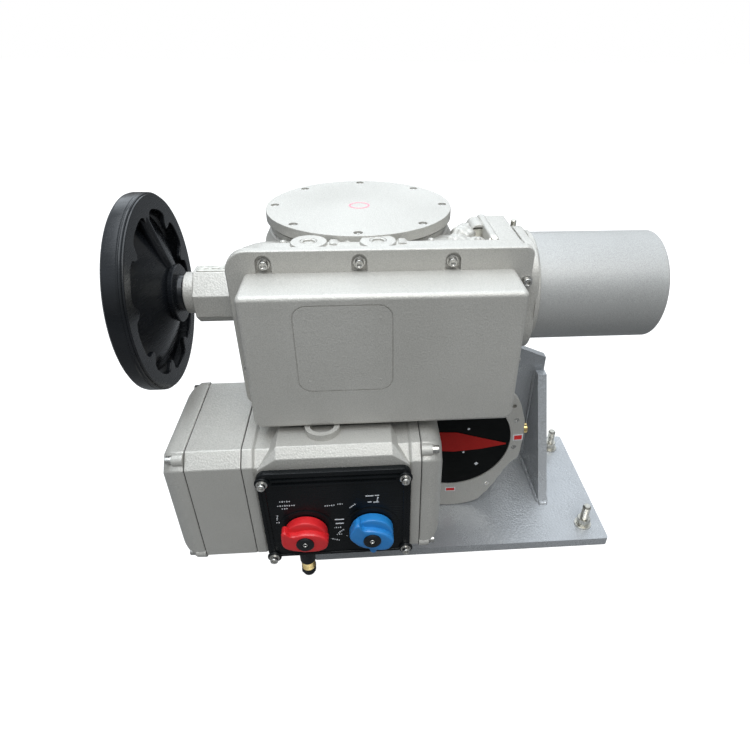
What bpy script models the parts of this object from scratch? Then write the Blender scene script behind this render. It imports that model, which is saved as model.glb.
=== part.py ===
"""Motorized valve actuator on a foot bracket.

A multi-turn drive (motor, worm shaft, handwheel) turns a vertical drive sleeve.
The sleeve turns the worm of a part-turn gearbox, whose toothed sector turns the
output shaft, a pointer dial in front and a lever behind the bracket.
Lengths below are millimetres; MM converts them. Origin: centre of the base
plate's underside. +X runs along the motor, +Y to the back, +Z up.
"""
import math

import bmesh
import bpy
from mathutils import Vector

MM = 0.001
GAP = 0.3
FINE = 36
MID = 20
SMALL = 12
TINY = 8

CASTINGS = ("gearbox_housing", "main_housing")

BASE_X = 441.0
BASE_Y = 237.0
BASE_T = 14.0
STUDS = [(190.7, -88.5), (190.7, 88.5), (-206.5, -88.5), (-206.5, 96.0)]
STUD_R = 6.0
STUD_TOP = 53.5

PLATE_Y0 = 69.5
PLATE_Y1 = 82.5
RIB_FOOT_Y = -42.5
RIB_TOP_Z = 198.5

DRIVE_X = -138.5
DRIVE_Y = 46.0
SHAFT_Y = -32.5
SHAFT_Z = 392.0
OUT_X = -10.5
OUT_Z = 145.5
DIAL_Y = -37.5

SECTOR_TEETH = 40
SECTOR_R = 103.5
REST_TURN = -5.0
WORM2_R = 24.0
WHEEL_TEETH = 30
WHEEL_R = 60.0
WORM1_R = 18.0

PLUGS = {"blanking_plug_left": (-193.2, -77.6), "blanking_plug_right": (-119.2, -77.6)}
COVER_R = 115.0
COVER_TOP = 471.5
TURRET_R = 108.0

BOX_X0 = -261.3
BOX_X1 = 28.7
BOX_Y0 = -162.5
BOX_Z0 = 285.0
BOX_Z1 = 445.0
RIM_Y0 = -104.5
RIM_Y1 = -92.5
RIM_X0 = -279.3
RIM_X1 = 46.7
RIM_Z0 = 274.0
RIM_Z1 = 469.5

MOTOR_R = 65.0
MOTOR_X1 = 214.7

LOBES = 9
LOBE_PHASE = 9.0

ECU_X0 = -276.3
ECU_X1 = -77.5
ECU_Y0 = -193.1
ECU_Y1 = -42.0
ECU_Z0 = 112.0
ECU_Z1 = 270.0
PANEL_X0 = -261.0
PANEL_X1 = -89.5
PANEL_Z0 = 117.0
PANEL_Z1 = 254.0
PANEL_Y = -202.5
RED_X = -212.2
BLUE_X = -135.3
KNOB_Z = 162.0
KNOB_R = 25.0


def clear_scene():
    for item in list(bpy.data.objects):
        bpy.data.objects.remove(item, do_unlink=True)


def material(name, rgb, rough, metal):
    mat = bpy.data.materials.new(name)
    mat.use_nodes = True
    shader = mat.node_tree.nodes["Principled BSDF"]
    shader.inputs["Base Color"].default_value = (rgb[0], rgb[1], rgb[2], 1.0)
    shader.inputs["Roughness"].default_value = rough
    shader.inputs["Metallic"].default_value = metal
    mat.diffuse_color = (rgb[0], rgb[1], rgb[2], 1.0)
    return mat


def place(axis, along, u, v):
    """A point from its distance along an axis letter and its other two coordinates."""
    if axis == "x":
        return Vector((along, u, v))
    if axis == "y":
        return Vector((u, along, v))
    return Vector((u, v, along))


def prism(bm, points, axis, a0, a1):
    """Extrude a flat outline between two positions along an axis."""
    low = [bm.verts.new(place(axis, a0, u, v)) for u, v in points]
    high = [bm.verts.new(place(axis, a1, u, v)) for u, v in points]
    count = len(points)
    bm.faces.new(low)
    bm.faces.new(high)
    for i in range(count):
        j = (i + 1) % count
        bm.faces.new((low[i], low[j], high[j], high[i]))


def box(bm, x0, x1, y0, y1, z0, z1):
    prism(bm, [(x0, y0), (x1, y0), (x1, y1), (x0, y1)], "z", z0, z1)


def lathe(bm, profile, axis, centre, seg=MID, ring=False, phase=0.0):
    """Turn (position, radius) pairs about an axis; ring joins the last pair to the first."""
    loops = []
    for along, radius in profile:
        if radius <= 0.0:
            loops.append([bm.verts.new(place(axis, along, centre[0], centre[1]))])
            continue
        loop = []
        for i in range(seg):
            turn = phase + 2.0 * math.pi * i / seg
            u = centre[0] + radius * math.cos(turn)
            v = centre[1] + radius * math.sin(turn)
            loop.append(bm.verts.new(place(axis, along, u, v)))
        loops.append(loop)
    pairs = list(zip(loops[:-1], loops[1:]))
    if ring:
        pairs.append((loops[-1], loops[0]))
    for first, second in pairs:
        for i in range(seg):
            j = (i + 1) % seg
            if len(first) == 1:
                bm.faces.new((first[0], second[i], second[j]))
            elif len(second) == 1:
                bm.faces.new((first[i], first[j], second[0]))
            else:
                bm.faces.new((first[i], first[j], second[j], second[i]))


def disc(bm, axis, centre, radius, a0, a1, seg=MID, phase=0.0):
    lathe(bm, [(a0, 0.0), (a0, radius), (a1, radius), (a1, 0.0)], axis, centre, seg, False, phase)


def tube(bm, axis, centre, inner, outer, a0, a1, seg=MID):
    profile = [(a0, inner), (a0, outer), (a1, outer), (a1, inner)]
    lathe(bm, profile, axis, centre, seg, True)


def arc(cu, cv, radius, start, end, steps):
    points = []
    for i in range(steps + 1):
        turn = math.radians(start + (end - start) * i / steps)
        points.append((cu + radius * math.cos(turn), cv + radius * math.sin(turn)))
    return points


def rounded(u0, u1, v0, v1, radius, steps=4):
    points = arc(u1 - radius, v0 + radius, radius, -90.0, 0.0, steps)
    points += arc(u1 - radius, v1 - radius, radius, 0.0, 90.0, steps)
    points += arc(u0 + radius, v1 - radius, radius, 90.0, 180.0, steps)
    points += arc(u0 + radius, v0 + radius, radius, 180.0, 270.0, steps)
    return points


def frame_ring(bm, outer, inner, axis, a0, a1):
    """A flat ring between two outlines with the same number of points."""
    loops = []
    for points, along in ((outer, a0), (outer, a1), (inner, a1), (inner, a0)):
        loops.append([bm.verts.new(place(axis, along, u, v)) for u, v in points])
    count = len(outer)
    for k in range(4):
        first = loops[k]
        second = loops[(k + 1) % 4]
        for i in range(count):
            j = (i + 1) % count
            bm.faces.new((first[i], first[j], second[j], second[i]))


def build(name, bm, mat, origin=(0.0, 0.0, 0.0), parent=None, bevel=0.0):
    """Close a bmesh into a named object, its origin at a point given in millimetres."""
    bmesh.ops.triangulate(bm, faces=[face for face in bm.faces if len(face.verts) > 4])
    bmesh.ops.recalc_face_normals(bm, faces=bm.faces[:])
    shift = Vector(origin)
    for vert in bm.verts:
        vert.co = (vert.co - shift) * MM
    mesh = bpy.data.meshes.new(name)
    bm.to_mesh(mesh)
    bm.free()
    mesh.materials.append(mat)
    mesh.shade_smooth()
    mesh.set_sharp_from_angle(angle=math.radians(32.0))
    item = bpy.data.objects.new(name, mesh)
    item.location = shift * MM
    bpy.context.collection.objects.link(item)
    if parent is not None:
        item.parent = parent
        item.location = (0.0, 0.0, 0.0)
    if bevel > 0.0:
        add_bevel(item, bevel, 1)
    return item


def add_bevel(item, width, segments):
    mod = item.modifiers.new("Edge", "BEVEL")
    mod.width = width * MM
    mod.segments = segments
    mod.limit_method = "ANGLE"
    mod.angle_limit = math.radians(50.0)


def boolean(item, name, bm, operation="DIFFERENCE"):
    """Cut or join a guide shape; the guide stays hidden.

    EXACT leaves open edges on the two castings after several cuts, so they use MANIFOLD.
    """
    bmesh.ops.triangulate(bm, faces=[face for face in bm.faces if len(face.verts) > 4])
    bmesh.ops.recalc_face_normals(bm, faces=bm.faces[:])
    for vert in bm.verts:
        vert.co = vert.co * MM
    mesh = bpy.data.meshes.new(name)
    bm.to_mesh(mesh)
    bm.free()
    guide = bpy.data.objects.new(name, mesh)
    guide.hide_render = True
    guide.display_type = "WIRE"
    bpy.context.collection.objects.link(guide)
    mod = item.modifiers.new(name, "BOOLEAN")
    mod.operation = operation
    mod.solver = "MANIFOLD" if item.name in CASTINGS else "EXACT"
    mod.object = guide


def holes(item, name, axis, centres, radius, a0, a1, seg=TINY):
    bm = bmesh.new()
    for centre in centres:
        disc(bm, axis, centre, radius, a0, a1, seg)
    boolean(item, name, bm)


def pivot(name, point):
    empty = bpy.data.objects.new(name, None)
    empty.location = Vector(point) * MM
    empty.empty_display_size = 0.03
    bpy.context.collection.objects.link(empty)
    return empty


def around(centre, radius, angles):
    out = []
    for angle in angles:
        turn = math.radians(angle)
        out.append((centre[0] + radius * math.cos(turn), centre[1] + radius * math.sin(turn)))
    return out


# ---------------------------------------------------------------- foot bracket

def make_bracket(paint, zinc):
    bm = bmesh.new()
    prism(bm, rounded(-BASE_X / 2, BASE_X / 2, -BASE_Y / 2, BASE_Y / 2, 4.0, 2), "z", 0.0, BASE_T)
    plate = build("base_plate", bm, paint)
    holes(plate, "cut_studs", "z", STUDS, STUD_R + 1.0, -5.0, 30.0, SMALL)

    bm = bmesh.new()
    low = BASE_T + GAP
    outline = [(-190.0, low), (147.7, low), (147.7, 221.0), (100.0, 241.0), (-50.0, 241.0)]
    outline += [(-70.0, 230.0), (-97.0, 230.0), (-97.0, 44.0), (-175.7, 44.0), (-175.7, RIB_TOP_Z)]
    outline += [(-190.0, RIB_TOP_Z)]
    prism(bm, outline, "y", PLATE_Y0, PLATE_Y1)
    back = build("back_plate", bm, paint)
    bm = bmesh.new()
    disc(bm, "y", (OUT_X, OUT_Z), 34.0, 60.0, 95.0, MID)
    boolean(back, "cut_back", bm)

    side = [(RIB_FOOT_Y, low), (PLATE_Y0 - GAP, low), (PLATE_Y0 - GAP, RIB_TOP_Z), (54.0, RIB_TOP_Z)]
    for name, x0 in (("rib_right", 133.7), ("rib_left", -190.0)):
        bm = bmesh.new()
        prism(bm, side, "x", x0, x0 + 14.0)
        build(name, bm, paint)

    for i, spot in enumerate(STUDS):
        make_anchor("anchor_bolt_%d" % (i + 1), spot, zinc)


def make_anchor(name, spot, zinc):
    """A threaded stud with its washer and hexagon nut run down tight."""
    bm = bmesh.new()
    low = BASE_T + GAP
    profile = [(1.0, 0.0), (1.0, STUD_R), (low, STUD_R), (low, 12.0), (low + 2.5, 12.0), (low + 2.5, STUD_R)]
    profile += [(STUD_TOP - 1.0, STUD_R), (STUD_TOP, STUD_R - 1.0), (STUD_TOP, 0.0)]
    lathe(bm, profile, "z", spot, SMALL)
    bolt = build(name, bm, zinc)
    bm = bmesh.new()
    disc(bm, "z", spot, 10.4, low + 2.0, low + 12.5, 6)
    boolean(bolt, "nut_" + name, bm, "UNION")


# ---------------------------------------------------------- part-turn gearbox

def gearbox_outline(left, right):
    """Round on both sides, larger where the sector's teeth sweep."""
    points = arc(OUT_X, OUT_Z, right, -60.0, 68.0, 13)
    points += arc(OUT_X, OUT_Z, left, 75.0, 294.0, 22)
    return points


def ring_outline():
    """The dial ring: nearly round, waisted at its sides and deep at its foot."""
    waist = [(90.0, 106.0), (38.0, 105.0), (18.0, 105.0), (0.0, 102.0), (-32.0, 95.0), (-54.0, 104.0)]
    waist += [(-66.0, 122.0), (-74.0, 125.0), (-90.0, 125.0)]
    points = []
    for i in range(48):
        angle = -90.0 + 360.0 * i / 48
        folded = angle if angle <= 90.0 else 180.0 - angle
        radius = waist[0][1]
        for first, second in zip(waist[:-1], waist[1:]):
            if second[0] <= folded <= first[0]:
                share = (folded - second[0]) / (first[0] - second[0])
                radius = second[1] + share * (first[1] - second[1])
        turn = math.radians(angle)
        points.append((OUT_X + radius * math.cos(turn), OUT_Z + radius * math.sin(turn)))
    return points


def make_gearbox_shell(paint, brass):
    bm = bmesh.new()
    prism(bm, gearbox_outline(115.0, 103.0), "y", DIAL_Y + 10.0, PLATE_Y0 - GAP)
    shell = build("gearbox_housing", bm, paint)
    bm = bmesh.new()
    lathe(bm, [(58.0, 0.0), (58.0, 36.0), (236.0, 36.0), (236.0, 50.0), (250.0, 50.0), (250.0, 0.0)],
          "z", (DRIVE_X, DRIVE_Y), MID)
    boolean(shell, "join_tower", bm, "UNION")
    bm = bmesh.new()
    box(bm, DRIVE_X - 30.0, DRIVE_X + 20.0, 1.0, 30.0, 75.0, 230.0)
    boolean(shell, "join_pad", bm, "UNION")
    bm = bmesh.new()
    prism(bm, gearbox_outline(107.5, 90.0), "y", DIAL_Y + 5.0, 58.0)
    boolean(shell, "cut_case", bm)
    bm = bmesh.new()
    profile = [(50.0, 0.0), (50.0, 30.0), (260.0, 30.0), (260.0, 0.0)]
    lathe(bm, profile, "z", (DRIVE_X, DRIVE_Y), MID)
    boolean(shell, "cut_tower", bm)
    bm = bmesh.new()
    disc(bm, "y", (OUT_X, OUT_Z), 30.0, 50.0, 80.0, MID)
    boolean(shell, "cut_bores", bm)
    bm = bmesh.new()
    disc(bm, "x", (15.0, OUT_Z + 22.0), 6.0, OUT_X + 80.0, OUT_X + 120.0, SMALL)
    boolean(shell, "cut_stop", bm)

    bm = bmesh.new()
    profile = [(OUT_X + 92.0, 0.0), (OUT_X + 92.0, 5.0), (OUT_X + 102.7, 5.0), (OUT_X + 102.7, 8.0)]
    profile += [(OUT_X + 109.0, 8.0), (OUT_X + 109.0, 0.0)]
    lathe(bm, profile, "x", (15.0, OUT_Z + 22.0), SMALL)
    build("stop_plug", bm, brass)

    bm = bmesh.new()
    prism(bm, ring_outline(), "y", DIAL_Y, DIAL_Y + 9.7)
    ring = build("dial_ring_cover", bm, paint)
    bm = bmesh.new()
    lathe(bm, [(DIAL_Y - 5.0, 0.0), (DIAL_Y - 5.0, 84.0), (DIAL_Y + 5.0, 84.0), (DIAL_Y + 5.0, 24.0),
               (DIAL_Y + 15.0, 24.0), (DIAL_Y + 15.0, 0.0)], "y", (OUT_X, OUT_Z), FINE)
    boolean(ring, "cut_dial", bm)


def make_adapter(paint):
    bm = bmesh.new()
    tube(bm, "z", (DRIVE_X, DRIVE_Y), 32.0, 50.0, 250.0 + GAP, 262.0 - GAP, MID)
    build("drive_adapter", bm, paint)


def gear_outline(cu, cv, outer, depth, teeth, first, last, hub):
    """A toothed arc from angle first to last, closed round a hub."""
    pitch = 360.0 / teeth
    points = []
    count = int(round((last - first) / pitch))
    for i in range(count):
        base = first + pitch * i
        for part, radius in ((0.05, outer - depth), (0.32, outer), (0.58, outer), (0.85, outer - depth)):
            turn = math.radians(base + pitch * part)
            points.append((cu + radius * math.cos(turn), cv + radius * math.sin(turn)))
    if count < teeth:
        points += arc(cu, cv, hub, last + 22.0, first + 360.0 - 22.0, 12)
    return points


def make_output(steel, paint, black, red, bronze):
    axis = pivot("output_axis", (OUT_X, 0.0, OUT_Z))
    origin = (OUT_X, 0.0, OUT_Z)
    bm = bmesh.new()
    prism(bm, gear_outline(OUT_X, OUT_Z, SECTOR_R, 8.5, SECTOR_TEETH, 166.5, 283.5, 40.0), "y", 34.0, 57.6)
    sector = build("sector_wheel", bm, bronze, origin, axis)
    bm = bmesh.new()
    disc(bm, "y", (OUT_X, OUT_Z), 22.4, 20.0, 60.0, MID)
    boolean(sector, "cut_sector", bm)

    bm = bmesh.new()
    profile = [(DIAL_Y + 4.6, 0.0), (DIAL_Y + 4.6, 16.0), (-12.0, 16.0), (-12.0, 22.0), (87.0, 22.0)]
    profile += [(87.0, 18.0), (114.0, 18.0), (114.0, 0.0)]
    lathe(bm, profile, "y", (OUT_X, OUT_Z), MID)
    build("output_shaft", bm, steel, origin, axis)

    bm = bmesh.new()
    lathe(bm, [(DIAL_Y + 0.6, 0.0), (DIAL_Y + 0.6, 83.2), (DIAL_Y + 4.2, 83.2), (DIAL_Y + 4.2, 0.0)],
          "y", (OUT_X, OUT_Z), FINE)
    build("pointer_disc", bm, black, origin, axis)
    bm = bmesh.new()
    arrow = []
    for along, across in ((-56.0, 0.0), (-34.0, -17.0), (2.0, -18.0), (78.5, -1.5), (78.5, 1.5), (2.0, 18.0),
                          (-34.0, 17.0)):
        turn = math.radians(REST_TURN)
        arrow.append((OUT_X + along * math.cos(turn) - across * math.sin(turn),
                      OUT_Z + along * math.sin(turn) + across * math.cos(turn)))
    prism(bm, arrow, "y", DIAL_Y - 1.2, DIAL_Y + 0.3)
    build("pointer_arrow", bm, red, origin, axis)

    bm = bmesh.new()
    outline = arc(OUT_X, OUT_Z, 34.0, 160.0, 380.0, 14)
    outline += arc(OUT_X, OUT_Z + 120.0, 20.0, 10.0, 170.0, 10)
    prism(bm, outline, "y", 92.0, 110.0)
    lever = build("lever_arm", bm, paint, origin, axis)
    bm = bmesh.new()
    disc(bm, "y", (OUT_X, OUT_Z), 18.4, 85.0, 118.0, MID)
    disc(bm, "y", (OUT_X, OUT_Z + 120.0), 8.0, 85.0, 118.0, SMALL)
    boolean(lever, "cut_lever", bm)
    bm = bmesh.new()
    disc(bm, "y", (OUT_X, OUT_Z), 26.0, 114.3, 118.3, SMALL)
    build("lever_retainer", bm, steel, origin, axis)


def make_gearbox_bushes(bronze, paint):
    bm = bmesh.new()
    profile = [(58.2, 23.0), (58.2, 29.2), (PLATE_Y1, 29.2), (PLATE_Y1, 23.0)]
    lathe(bm, profile, "y", (OUT_X, OUT_Z), MID, True)
    build("output_bush", bm, bronze)
    bm = bmesh.new()
    lathe(bm, [(47.0, 0.0), (47.0, 34.0), (57.7, 34.0), (57.7, 29.0), (62.0, 29.0), (62.0, 0.0)],
          "z", (DRIVE_X, DRIVE_Y), MID)
    build("gearbox_end_cap", bm, paint)


# ----------------------------------------------------------------- main drive

def helix(bm, axis, centre, core, crest, lead, starts, a0, a1, hand, seg=10):
    """A worm: one closed solid whose radius follows a raised thread along a screw."""
    steps = 20
    rows = []
    for k in range(steps + 1):
        along = a0 + (a1 - a0) * k / steps
        row = []
        for i in range(seg):
            turn = 2.0 * math.pi * i / seg
            phase = (along - a0) / lead - hand * turn / (2.0 * math.pi)
            wave = math.cos(2.0 * math.pi * starts * phase)
            fade = min(1.0, 6.0 * k / steps, 6.0 * (steps - k) / steps)
            radius = core + (crest - core) * fade * max(0.0, min(1.0, 0.5 + 0.9 * wave))
            u = centre[0] + radius * math.cos(turn)
            v = centre[1] + radius * math.sin(turn)
            row.append(bm.verts.new(place(axis, along, u, v)))
        rows.append(row)
    return rows


def close_shaft(bm, axis, centre, rows, before, after, seg=10):
    """Join a worm's rows to plain shaft ends given as (position, radius) pairs."""
    start = []
    for along, radius in before:
        if radius <= 0.0:
            start.append([bm.verts.new(place(axis, along, centre[0], centre[1]))])
            continue
        ring = [(centre[0] + radius * math.cos(2.0 * math.pi * i / seg),
                 centre[1] + radius * math.sin(2.0 * math.pi * i / seg)) for i in range(seg)]
        start.append([bm.verts.new(place(axis, along, u, v)) for u, v in ring])
    end = []
    for along, radius in after:
        if radius <= 0.0:
            end.append([bm.verts.new(place(axis, along, centre[0], centre[1]))])
            continue
        ring = [(centre[0] + radius * math.cos(2.0 * math.pi * i / seg),
                 centre[1] + radius * math.sin(2.0 * math.pi * i / seg)) for i in range(seg)]
        end.append([bm.verts.new(place(axis, along, u, v)) for u, v in ring])
    loops = start + rows + end
    for first, second in zip(loops[:-1], loops[1:]):
        for i in range(seg):
            j = (i + 1) % seg
            if len(first) == 1:
                bm.faces.new((first[0], second[i], second[j]))
            elif len(second) == 1:
                bm.faces.new((first[i], first[j], second[0]))
            else:
                bm.faces.new((first[i], first[j], second[j], second[i]))


def make_drive_train(steel, bronze):
    axis = pivot("drive_axis", (DRIVE_X, DRIVE_Y, 0.0))
    origin = (DRIVE_X, DRIVE_Y, 0.0)
    bm = bmesh.new()
    rows = helix(bm, "z", (DRIVE_X, DRIVE_Y), 16.5, WORM2_R, 14.4, 1, OUT_Z - 40.0, OUT_Z + 40.0, 1)
    close_shaft(bm, "z", (DRIVE_X, DRIVE_Y), rows, [(64.0, 0.0), (64.0, 12.6), (121.0, 12.6)],
                [(205.0, 12.6), (262.0, 12.6), (262.0, 0.0)])
    build("gearbox_worm", bm, steel, origin, axis)

    bm = bmesh.new()
    profile = [(264.0, 0.0), (264.0, 24.0), (330.0, 24.0), (330.0, 30.0), (348.0, 30.0), (348.0, 24.0)]
    profile += [(440.0, 24.0), (440.0, 0.0)]
    lathe(bm, profile, "z", (DRIVE_X, DRIVE_Y), 24)
    sleeve = build("drive_sleeve", bm, steel, origin, axis)
    bm = bmesh.new()
    disc(bm, "z", (DRIVE_X, DRIVE_Y), 10.0, 250.0, 450.0, 16)
    boolean(sleeve, "cut_sleeve", bm)

    bm = bmesh.new()
    centre = (DRIVE_X, DRIVE_Y)
    outline = gear_outline(centre[0], centre[1], WHEEL_R, 7.5, WHEEL_TEETH, 0.0, 360.0, 0.0)
    prism(bm, outline, "z", SHAFT_Z - 13.0, SHAFT_Z + 13.0)
    wheel = build("drive_worm_wheel", bm, bronze, origin, axis)
    bm = bmesh.new()
    disc(bm, "z", centre, 24.4, SHAFT_Z - 30.0, SHAFT_Z + 30.0, 24)
    boolean(wheel, "cut_wheel", bm)


def make_bearing(name, axis, centre, inner, outer, a0, a1, mat):
    bm = bmesh.new()
    tube(bm, axis, centre, inner, outer, a0, a1, 16)
    build(name, bm, mat)


def make_bearings(steel):
    drive = (DRIVE_X, DRIVE_Y)
    shaft = (SHAFT_Y, SHAFT_Z)
    make_bearing("drive_bearing", "z", drive, 25.0, 39.2, 296.0, 312.0, steel)
    make_bearing("gearbox_bearing_lower", "z", drive, 13.4, 29.2, 66.0, 80.0, steel)
    make_bearing("gearbox_bearing_upper", "z", drive, 13.4, 29.2, 206.0, 220.0, steel)
    make_bearing("neck_bearing", "x", shaft, 12.8, 19.4, -330.0, -318.0, steel)
    make_bearing("shaft_bearing", "x", shaft, 12.8, 29.2, 26.0, 40.0, steel)


def make_main_housing(paint):
    bm = bmesh.new()
    prism(bm, rounded(-276.3, 43.7, 276.0, 467.0, 16.0, 3), "y", -90.5, -71.5)
    shell = build("main_housing", bm, paint)
    bm = bmesh.new()
    disc(bm, "x", (SHAFT_Y, SHAFT_Z), 58.0, -279.0, 46.5, MID)
    boolean(shell, "join_tube", bm, "UNION")
    bm = bmesh.new()
    profile = [(262.0, 0.0), (262.0, 58.0), (296.0, 58.0), (300.0, TURRET_R), (457.0, TURRET_R), (457.0, 0.0)]
    lathe(bm, profile, "z", (DRIVE_X, DRIVE_Y), FINE)
    boolean(shell, "join_turret", bm, "UNION")
    bm = bmesh.new()
    box(bm, DRIVE_X - 96.0, DRIVE_X + 96.0, -73.0, 10.0, 300.3, 456.7)
    boolean(shell, "join_web", bm, "UNION")
    bm = bmesh.new()
    rail = [(-73.0, 340.0), (30.0, 340.0), (39.0, 360.0), (39.0, 452.0), (34.0, 460.0), (-73.0, 460.0)]
    prism(bm, rail, "x", 19.0, 43.3)
    boolean(shell, "join_rail", bm, "UNION")
    bm = bmesh.new()
    rail = [(-70.0, 400.0), (34.0, 400.0), (34.0, 459.0), (-54.0, 459.0)]
    prism(bm, rail, "x", 9.0, 19.5)
    boolean(shell, "join_bar", bm, "UNION")
    bm = bmesh.new()
    for spot in PLUGS.values():
        disc(bm, "z", spot, 12.6, 445.0, 468.8, MID)
    boolean(shell, "join_bosses", bm, "UNION")
    bm = bmesh.new()
    tube(bm, "z", (DRIVE_X, DRIVE_Y), 90.0, COVER_R + GAP, 458.7, 475.0, FINE)
    boolean(shell, "cut_cover_seat", bm)
    bm = bmesh.new()
    prism(bm, rounded(-266.0, 33.4, 286.0, 452.0, 10.0, 2), "y", -100.0, -80.0)
    boolean(shell, "cut_bay", bm)
    bm = bmesh.new()
    profile = [(312.0, 0.0), (312.0, 100.0), (470.0, 100.0), (470.0, 0.0)]
    lathe(bm, profile, "z", (DRIVE_X, DRIVE_Y), FINE)
    boolean(shell, "cut_turret", bm)
    bm = bmesh.new()
    lathe(bm, [(250.0, 0.0), (250.0, 40.0), (320.0, 40.0), (320.0, 0.0)], "z", (DRIVE_X, DRIVE_Y), MID)
    boolean(shell, "cut_sleeve_bore", bm)
    bm = bmesh.new()
    disc(bm, "x", (SHAFT_Y, SHAFT_Z), 30.0, -300.0, 60.0, MID)
    boolean(shell, "cut_shaft_bore", bm)
    bm = bmesh.new()
    for spot in PLUGS.values():
        disc(bm, "z", spot, 8.8, 457.0, 480.0, SMALL)
    boolean(shell, "cut_tapped", bm)


def make_top(paint, rubber):
    centre = (DRIVE_X, DRIVE_Y)
    bm = bmesh.new()
    profile = [(459.0, 0.0), (459.0, COVER_R - 2.0), (461.0, COVER_R), (COVER_TOP - 2.0, COVER_R)]
    profile += [(COVER_TOP, COVER_R - 2.0), (COVER_TOP, 0.0)]
    lathe(bm, profile, "z", centre, FINE)
    build("top_cover", bm, paint)
    bm = bmesh.new()
    profile = [(457.3, 101.0), (457.3, 107.0), (458.7, 107.0), (458.7, 101.0)]
    lathe(bm, profile, "z", centre, FINE, True)
    build("top_cover_gasket", bm, rubber)


def make_plugs(paint):
    for name, spot in PLUGS.items():
        bm = bmesh.new()
        profile = [(460.0, 0.0), (460.0, 8.5), (469.1, 8.5), (469.1, 9.2), (470.8, 9.2)]
        profile += [(470.8, 4.5), (465.0, 4.5), (465.0, 0.0)]
        lathe(bm, profile, "z", spot, SMALL)
        build(name, bm, paint)


# ------------------------------------------------------- terminal compartment

RIM_SCREWS_TOP = [-239.3, -139.9, -40.8]


def make_terminal_cover(paint, rubber, plastic):
    bm = bmesh.new()
    prism(bm, rounded(RIM_X0, RIM_X1, RIM_Z0, RIM_Z1, 20.0, 4), "y", RIM_Y0, RIM_Y1)
    cover = build("terminal_cover", bm, paint)
    bm = bmesh.new()
    face = rounded(BOX_X0, BOX_X1, BOX_Z0, BOX_Z1, 9.0, 3)
    prism(bm, face, "y", BOX_Y0 + 5.0, RIM_Y0 + 5.0)
    boolean(cover, "join_box", bm, "UNION")
    bm = bmesh.new()
    face = rounded(BOX_X0 + 4.0, BOX_X1 - 4.0, BOX_Z0 + 4.0, BOX_Z1 - 4.0, 6.0, 3)
    prism(bm, face, "y", BOX_Y0, BOX_Y0 + 30.0)
    boolean(cover, "join_face", bm, "UNION")
    bm = bmesh.new()
    inside = rounded(BOX_X0 + 6.0, BOX_X1 - 6.0, BOX_Z0 + 6.0, BOX_Z1 - 6.0, 5.0, 2)
    prism(bm, inside, "y", BOX_Y0 + 6.0, RIM_Y1 + 5.0)
    boolean(cover, "cut_hollow", bm)
    bm = bmesh.new()
    for x in RIM_SCREWS_TOP:
        pocket = rounded(x - 7.5, x + 7.5, RIM_Z1 - 26.0, RIM_Z1 - 7.0, 7.0, 2)
        prism(bm, pocket, "y", RIM_Y0 - 3.0, RIM_Y0 + 3.0)
    boolean(cover, "cut_pockets", bm)

    bm = bmesh.new()
    frame_ring(bm, rounded(-275.0, 42.4, 277.3, 465.7, 15.0, 3), rounded(-266.0, 33.4, 286.3, 456.7, 8.0, 3),
               "y", RIM_Y1 + GAP, -90.5 - GAP)
    build("terminal_gasket", bm, rubber)

    bm = bmesh.new()
    box(bm, -215.0, -60.0, -100.0, -84.3, 330.0, 352.0)
    block = build("terminal_block", bm, plastic)
    bm = bmesh.new()
    for i in range(6):
        disc(bm, "y", (-205.0 + 27.0 * i, 341.0), 4.5, -110.0, -96.0, 6)
    boolean(block, "cut_block", bm)


# -------------------------------------------------------- handwheel and shaft

def make_neck(paint):
    bm = bmesh.new()
    octagon = [(SHAFT_Y - 29.7, SHAFT_Z - 18.0), (SHAFT_Y - 18.0, SHAFT_Z - 29.7)]
    octagon += [(SHAFT_Y + 18.0, SHAFT_Z - 29.7), (SHAFT_Y + 29.7, SHAFT_Z - 18.0)]
    octagon += [(SHAFT_Y + 29.7, SHAFT_Z + 8.0), (SHAFT_Y + 9.5, SHAFT_Z + 29.7)]
    octagon += [(SHAFT_Y - 9.5, SHAFT_Z + 29.7), (SHAFT_Y - 29.7, SHAFT_Z + 8.0)]
    prism(bm, octagon, "x", -332.0, -279.4)
    neck = build("bearing_neck", bm, paint)
    bm = bmesh.new()
    lathe(bm, [(-335.0, 0.0), (-335.0, 20.0), (-270.0, 20.0), (-270.0, 0.0)], "x", (SHAFT_Y, SHAFT_Z), 24)
    boolean(neck, "cut_neck", bm)
    bm = bmesh.new()
    tube(bm, "x", (SHAFT_Y, SHAFT_Z), 13.0, 27.0, -344.0, -332.4, MID)
    build("neck_collar", bm, paint)


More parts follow.
